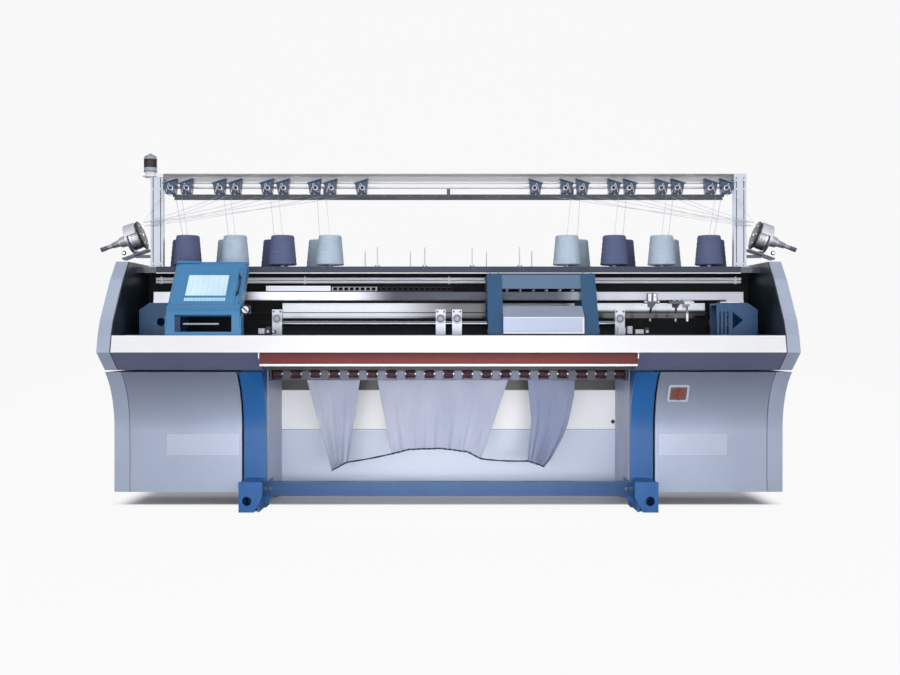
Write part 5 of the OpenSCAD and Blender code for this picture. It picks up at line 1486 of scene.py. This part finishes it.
def makeBack():
    # hoods, straps, handles and glands on the covers' back faces, placed from the case's depth
    case, straps, both = machine["caseDepth"], covers["strapPlaces"], (-1, 1)
    hoods = []
    for x in (-1330.0, -1640.0, 1330.0, 1640.0):
        hoods += [louvre(x, z, 150.0) for z in np.arange(560, 730, 26.0)]
    hoods += [louvre(x, z, 150.0) for x in (-500.0, 500.0) for z in np.arange(1180, 1290, 26.0)]
    makePiece("rear_louvres", hoods, silver, crease=60)
    plates = [block((x - 18, case - 0.4, 800), (x + 18, case + 2, 1334)) for x in straps]
    makePiece("rear_straps", plates, silver, bevel=0.8)
    spots = [(x + k, case + 2, z) for x in straps for k in (-10, 10) for z in (830, 1070, 1305)]
    spots += [(s * x, case, z) for s in both for x in (1190, 1500, 1790) for z in (120, 440, 755)]
    spots += [(x, case - 7, z) for x in (-1000, -500, 0, 500, 1000) for z in (110, 430, 770)]
    makePiece("rear_screws", bolts(spots, toBack, 5.0, 16), steel)
    # bow handles: X = middle + 60 cos t, d = case + 26 sin(t)^0.45
    t = np.linspace(0, np.pi, 22)
    grips = []
    for s in both:
        for x in (1300.0, 1670.0):
            path = np.stack([s * x + 60 * np.cos(t), case + 26 * np.sin(t) ** 0.45, np.full(22, 470.0)], 1)
            grips.append(tube(path, 5.0, 12))
    makePiece("rear_handles", grips, blackPlastic)
    gland = [(0, 19), (6, 19), (6, 14), (16, 14), (18, 11), (18, 0.5)]
    glands = [lathe(gland, (x, case, 200), toBack, 24) for x in (-1420, -1370, 1380)]
    makePiece("cable_glands", glands, blackPlastic)


def makeStandTrims():
    # weld beads: a tube whose radius swells with the welder's steps, and the crossbeam's washers
    seams = (
        [(1048.5, 158.5, 171), (1148.5, 158.5, 171)],
        [(1050, 327, 172.5), (1148, 327, 172.5)],
        [(1048.0, 160, 10), (1048.0, 160, 168)],
        [(1150.0, 160, 10), (1150.0, 160, 168)],
    )
    beads = []
    for s in (-1, 1):
        for start, end in seams:
            line = np.linspace(start, end, 60) * [s, 1, 1]
            beads.append(tube(line, 2.4 + 0.5 * np.sin(np.arange(60) * 1.3), 8))
    makePiece("weld_beads", beads, blue, crease=80)
    ring = [(0, 6.2), (0, 11), (1.6, 11), (2.0, 10), (2.0, 6.2)]
    washers = [lathe(ring, (s * x, 321, 110), toFront, 24) for s in (-1, 1) for x in (1012, 1041)]
    makePiece("beam_washers", washers, darkSteel)


def makeBracketTrims():
    # the pale plate on the right bracket, and four screws in each bracket
    makePiece("bracket_plates", block((1560, 384, 1170), (1668, 398, 1176)), white, bevel=1.2)
    heads = [(x, 385.0, z) for x in (1600, 1755) for z in (950, 1100)]
    heads += [(-x, 385.0, z) for x in (1560, 1755) for z in (950, 1110)]
    makePiece("bracket_screws", bolts(heads, toFront, 6.0, 18), darkSteel)


makeNamePlates()
makeBeamTrims()
makeRodBlocks()
makeRecessTrims()
makeStops()
makeBarEnds()
makeSides()
makeBack()
makeStandTrims()
makeBracketTrims()
print("covers trimmed")

# Stage: a pale floor that curves up far behind, soft boxes and the camera at the photograph's place
view = {
    "distance": 6.0,
    "height": 0.971,
    "lens": 44.5,
    "shift": 0.00167,
    "floorTone": linear(212, 212, 214),
    "floorGlow": 0.92,
    "worldTint": (0.93, 0.95, 1.0, 1.0),
    "worldStrength": 0.3,
    "worldSeen": (0.94, 0.94, 0.945, 1.0),
    "lowSpread": 75,
}
# each soft box: place, aim, size in metres, watts
softBoxes = {
    "overhead": ((0.0, -1.6, 4.6), (0.0, 0.0, 1.0), (7.0, 3.0), 76.0),
    "front": ((0.0, -9.0, 1.9), (0.0, 0.0, 0.9), (11.0, 3.4), 236.0),
    "front_left": ((-5.4, -4.6, 2.6), (-0.4, 0.0, 0.9), (3.0, 3.0), 50.0),
    "front_right": ((5.4, -4.6, 2.6), (0.4, 0.0, 0.9), (3.0, 3.0), 50.0),
    "low": ((0.0, -4.4, 0.42), (0.0, 0.9, 0.5), (3.0, 0.5), 8.0),
    "recess": ((0.0, -1.5, 0.34), (0.0, 0.9, 0.5), (1.7, 0.24), 3.3),
    "back": ((0.0, 5.5, 3.2), (0.0, 0.0, 1.0), (8.0, 3.0), 150.0),
}


def makeFloor():
    # depth and height of the sweep: flat, then a quarter circle, then upright
    a = np.linspace(0, np.pi / 2, 16)
    bend = np.stack([5000 + 3000 * np.sin(a), 3000 - 3000 * np.cos(a)], 1)
    line = np.concatenate([[(-30000.0, 0.0)], bend, [(8000.0, 9000.0)]])
    x = np.broadcast_to([-30000.0, 30000.0], (len(line), 2))
    grid = np.stack([x, np.repeat(line[:, :1], 2, 1), np.repeat(line[:, 1:], 2, 1)], 2)
    points, quads = surface(grid)[:2]
    mesh = bpy.data.meshes.new("floor")
    mesh.from_pydata(inMetres(points).tolist(), [], quads.tolist())
    mesh.shade_smooth()
    floor = bpy.data.objects.new("floor", mesh)
    bpy.context.scene.collection.objects.link(floor)
    paint = Paint("floor_sweep", view["floorTone"], 0.85)
    ray = paint.node("ShaderNodeLightPath", output=0)
    glow = paint.node("ShaderNodeEmission", {}, {"Color": (1.0, 1.0, 1.0, 1.0), "Strength": 1.0})
    # under the machine the floor keeps its own shade, so that the shadow shows
    across, back = paint.axis(0).size(), paint.axis(1)
    under = (1.0 - across.step(1.8, 1.98)) * back.step(-0.1, -0.02) * (1.0 - back.step(0.5, 0.8))
    share = ray * view["floorGlow"] * (1.0 - 0.94 * under)
    shade = Wire(paint, paint.shader.outputs[0])
    soft = paint.node("ShaderNodeMixShader", {}, {0: share, 1: shade, 2: glow})
    paint.tree.links.new(soft.socket, paint.tree.nodes["Material Output"].inputs["Surface"])
    mesh.materials.append(paint.material)


def makeWorld():
    # the world lights the machine softly, and the camera sees it as white as the floor
    world = bpy.data.worlds.new("studio")
    bpy.context.scene.world = world
    world.use_nodes = True
    nodes, links = world.node_tree.nodes, world.node_tree.links
    dim, clear = nodes["Background"], nodes.new("ShaderNodeBackground")
    dim.inputs["Color"].default_value = view["worldTint"]
    dim.inputs["Strength"].default_value = view["worldStrength"]
    clear.inputs["Color"].default_value = view["worldSeen"]
    eye, blended = nodes.new("ShaderNodeLightPath"), nodes.new("ShaderNodeMixShader")
    links.new(eye.outputs["Is Camera Ray"], blended.inputs[0])
    links.new(dim.outputs[0], blended.inputs[1])
    links.new(clear.outputs[0], blended.inputs[2])
    links.new(blended.outputs[0], nodes["World Output"].inputs["Surface"])


def makeLights():
    # a box looks from its place to its aim: lean = acos(z / length), turn = atan2(y, x) + a quarter turn
    for name, (place, aim, size, power) in softBoxes.items():
        lamp = bpy.data.lights.new(name, "AREA")
        lamp.shape = "RECTANGLE"
        lamp.size, lamp.size_y = size
        lamp.energy = power
        if name in ("low", "recess"):
            lamp.spread = math.radians(view["lowSpread"])
        made = bpy.data.objects.new(name, lamp)
        made.location = place
        away = np.array(place) - np.array(aim)
        lean = math.acos(away[2] / np.linalg.norm(away))
        made.rotation_euler = (lean, 0.0, math.atan2(away[1], away[0]) + math.pi / 2)
        bpy.context.scene.collection.objects.link(made)


def makeCamera():
    # level, square to the front, at the photograph's distance and height
    lens = bpy.data.cameras.new("camera")
    lens.lens = view["lens"]
    lens.sensor_width = 36.0
    lens.shift_x = view["shift"]
    lens.clip_end = 100.0
    camera = bpy.data.objects.new("camera", lens)
    camera.location = (0.0, -machine["halfDepth"] / 1000 - view["distance"], view["height"])
    camera.rotation_euler = (math.pi / 2, 0.0, 0.0)
    bpy.context.scene.collection.objects.link(camera)
    bpy.context.scene.camera = camera
    bpy.context.scene.view_settings.view_transform = "Standard"


makeFloor()
makeWorld()
makeLights()
makeCamera()
print("stage set")
